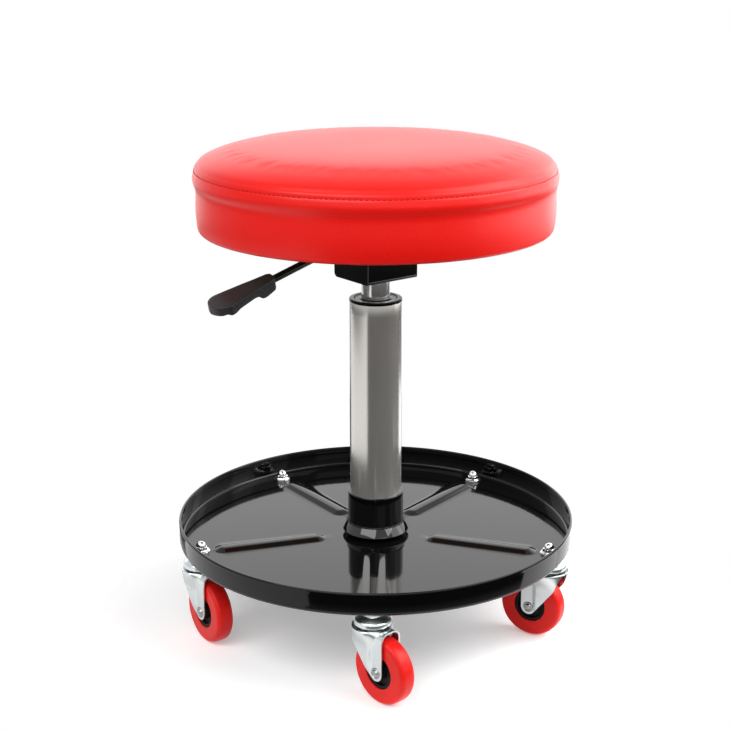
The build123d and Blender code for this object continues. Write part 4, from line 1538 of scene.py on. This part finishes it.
@dataclass
class Kingpins:
    """What stays on the tray at each caster: the cupped race, the domed nut and the solids between them."""

    casters: Sequence[Caster]
    bolt_radius: float = 4.0
    ball_top: float = 75.0
    lip_low: float = 71.6
    lip_inner: float = 14.4
    lip_outer: float = 17.2
    neck_radius: float = 9.8
    washer: float = 1.6
    flange_radius: float = 7.9
    flange: float = 0.8
    hexagon_half: float = 5.6
    hexagon_top: float = 3.7
    dome_radius: float = 4.9
    dome_rise: float = 5.0
    nut_height: float = 9.4
    columns: int = 72

    def race(self) -> Form:
        """The cupped race: a lip round the balls, drawn in to a neck under the tray."""
        top = TRAY_UNDERSIDE - 0.02
        corners = [
            (self.bolt_radius, self.ball_top, 0),
            (11.0, self.ball_top, 1.0),
            (self.lip_inner, self.ball_top - 1.4, 1.0),
            (self.lip_inner, self.lip_low, 0.2),
            (self.lip_outer, self.lip_low, 0.5),
            (self.lip_outer, self.lip_low + 4.4, 3.2),
            (self.neck_radius + 0.8, self.lip_low + 8.6, 3.2),
            (self.neck_radius, top, 0),
            (self.bolt_radius, top, 0),
        ]
        return Form.lathe(rounded(corners), self.columns)

    def nut(self) -> Form:
        """The nut as a polar grid: a round flange, a hexagon with its corners trimmed, and a dome that closes it.

        The radius of the hexagon is a / cos(t - t0), with t0 the middle of the flat. The last rows follow the dome's
        circle, whose radius is (c^2 + h^2) / 2 h for a dome of radius c and rise h.
        """
        t = round_steps(self.columns)
        flat = (t + pi / 6) % (pi / 3) - pi / 6
        hexagon = self.hexagon_half / np.cos(flat)
        rows = [
            (self.bolt_radius, 0.0),
            (self.flange_radius, 0.0),
            (self.flange_radius, self.flange),
            (self.flange_radius - 0.4, self.flange + 0.4),
            (hexagon, self.flange + 0.7),
            (hexagon, self.hexagon_top),
            (self.hexagon_half - 0.1, self.hexagon_top + 0.6),
        ]
        ball = (self.dome_radius**2 + self.dome_rise**2) / (2 * self.dome_rise)
        tilt = np.linspace(np.arcsin(self.dome_radius / ball), 0.0, 10)[:-1]
        rows += [(ball * sin(angle), self.nut_height - ball + ball * cos(angle)) for angle in tilt]
        radius, height = (np.vstack([row[part] + 0 * t for row in rows]) for part in (0, 1))
        return Form.grid(polar(radius, TRAY_FLOOR + self.washer + height, t), wrap_columns=True, capped=True)

    def build(self) -> None:
        """Make one piece of each kind for all casters."""
        places = [caster.place() for caster in self.casters]
        base = Body.BASE.value
        Piece("cup_races", base, Slot.ZINC, ZINC, ("caster_races",), 35.0).make(self.race().placed(*places))
        Piece("cap_nuts", base, Slot.CHROME, NUT_CHROME, ("dome_nuts",), 25.0).make(self.nut().placed(*places))
        refinish({"caster_stems": ZINC, "swivel_balls": BEARING, "nut_washers": ZINC})


# Studio and assembly


@dataclass(frozen=True)
class Lamp:
    """One soft lamp that faces the column.

    Its azimuth and tip are in degrees, from the camera's side towards the right of the picture and downwards. Its
    reach from the column, the heights of its edges and its width are in metres, and a glow of 1 is white.
    """

    name: str
    azimuth: float
    reach: float
    low: float
    high: float
    width: float
    glow: float
    tip: float = 0.0

    def hang(self) -> None:
        """Make the lamp, facing down its own Z: its energy is pi times its area times its glow."""
        light = bpy.data.lights.new(self.name, "AREA")
        light.shape, light.size, light.size_y = "RECTANGLE", self.width, self.high - self.low
        light.energy = pi * self.width * (self.high - self.low) * self.glow
        lamp = bpy.data.objects.new(self.name, light)
        bpy.context.scene.collection.objects.link(lamp)
        away = Matrix.Translation((0.0, -self.reach, (self.low + self.high) / 2))
        facing = Matrix.Rotation(radians(90.0 - self.tip), 4, "X")
        lamp.matrix_world = Matrix.Rotation(radians(self.azimuth), 4, "Z") @ away @ facing


LAMPS = (
    Lamp("left", -88.0, 0.95, -0.75, 0.03, 2.4, 1.35),
    Lamp("right", 120.0, 0.95, 0.13, 1.3, 1.1, 1.4),
    Lamp("right_low", 140.0, 0.95, -0.7, -0.05, 0.6, 1.8),
    Lamp("right_under", 104.0, 0.95, -0.75, -0.2, 0.62, 2.2),
    Lamp("right_high", 84.0, 0.95, 0.25, 1.0, 0.8, 1.9),
    Lamp("back", 180.0, 1.6, -0.3, 1.3, 3.2, 1.0),
    Lamp("front_left", -31.0, 1.5, 1.05, 2.25, 2.0, 4.3, 40.0),
    Lamp("front_right", 76.0, 1.5, 1.05, 2.25, 2.2, 4.3, 40.0),
    Lamp("front_middle", 20.0, 1.7, 0.7, 1.0, 1.2, 1.8),
)


@dataclass
class Studio:
    """Pale floor, white surroundings, soft lamps and the camera of the photograph, in metres."""

    focal: float = 76.3888
    sensor: float = 36.0
    eye: tuple[float, float, float] = (0.0, -1.41995, 0.67887)
    tilt: float = 73.42139
    shift_x: float = -0.014644
    floor_radius: float = 0.5
    ambient: float = 0.1
    skirt_reach: float = 1.9
    skirt_low: float = -1.5
    skirt_top: float = 0.0

    @staticmethod
    def prop(name: str, points: Array, faces: list[list[int]], finish: Finish) -> bpy.types.Object:
        """Something of the room, which is no piece of the stool.

        Args:
            name: Its name.
            points: Its points, in metres.
            faces: Its faces, as rows of indices.
            finish: Its finish.

        Returns:
            The object.
        """
        mesh = bpy.data.meshes.new(name)
        mesh.from_pydata(points.tolist(), [], faces)
        mesh.materials.append(finish.material())
        thing = bpy.data.objects.new(name, mesh)
        bpy.context.scene.collection.objects.link(thing)
        return thing

    def floor(self) -> None:
        """A pale round floor that fades into the white surroundings past the casters."""
        t = round_steps(96)
        rim = polar(self.floor_radius, 0.0, t)
        floor = self.prop("floor", rim, [list(range(len(t)))], Paper("floor_paper", (0.95, 0.95, 0.95), 0.8))

    def skirt(self) -> None:
        """A black sheet round the floor, below its level, which no camera, diffuse or shadow ray sees: it only paints
        dark reflections in glossy surfaces.
        """
        height = np.array([[self.skirt_low], [self.skirt_top]])
        form = Form.grid(polar(self.skirt_reach, height, round_steps(48)), wrap_columns=True)
        # Painted reflection: a near-black sheet that only glossy rays see, to darken what the glossy parts reflect.
        cloth = Thread("dark_reflection_sheet", (0.01, 0.01, 0.01), 1.0)
        skirt = self.prop("skirt", form.points, form.faces[0].tolist(), cloth)
        for kind in ("camera", "diffuse", "shadow", "transmission"):
            setattr(skirt, f"visible_{kind}", False)

    def world(self) -> None:
        """Surroundings that show white and light the scene less."""
        world = bpy.data.worlds.new("studio")
        bpy.context.scene.world = world
        world.use_nodes = True
        graph = Graph(world.node_tree)
        strength = self.ambient + (1.0 - self.ambient) * graph.shown()
        back = graph.node("ShaderNodeBackground", inputs={"Color": (1.0, 1.0, 1.0), "Strength": strength})
        graph.node("ShaderNodeOutputWorld", inputs={"Surface": back})

    def camera(self) -> None:
        """The photograph's camera."""
        data = bpy.data.cameras.new("camera")
        data.lens, data.sensor_width, data.shift_x = self.focal, self.sensor, self.shift_x
        camera = bpy.data.objects.new("camera", data)
        camera.location = self.eye
        camera.rotation_euler = (radians(self.tilt), 0.0, 0.0)
        bpy.context.scene.collection.objects.link(camera)
        bpy.context.scene.camera = camera

    def build(self) -> None:
        """Set everything up."""
        self.floor()
        self.world()
        self.camera()
        self.skirt()
        for lamp in LAMPS:
            lamp.hang()
        bpy.context.scene.view_settings.view_transform = "Standard"


@dataclass
class Stool:
    """The whole stool."""

    headings: tuple[float, ...] = (-46.0, 149.0, 70.0, 15.0, -55.0)

    def build(self) -> None:
        """Make every sub-assembly."""
        casters = [Caster(index + 1, *place) for index, place in enumerate(zip(CASTER_ANGLES, self.headings))]
        for part in (Tray(), Column(), GasSpring(), Bracket(), Lever(), Cushion(), *casters, Kingpins(casters)):
            log.info("building %s", type(part).__name__)
            part.build()


def main() -> None:
    """Dress the stool and set up the studio."""
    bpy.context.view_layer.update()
    Stool().build()
    Studio().build()


if __name__ == "__main__":
    main()
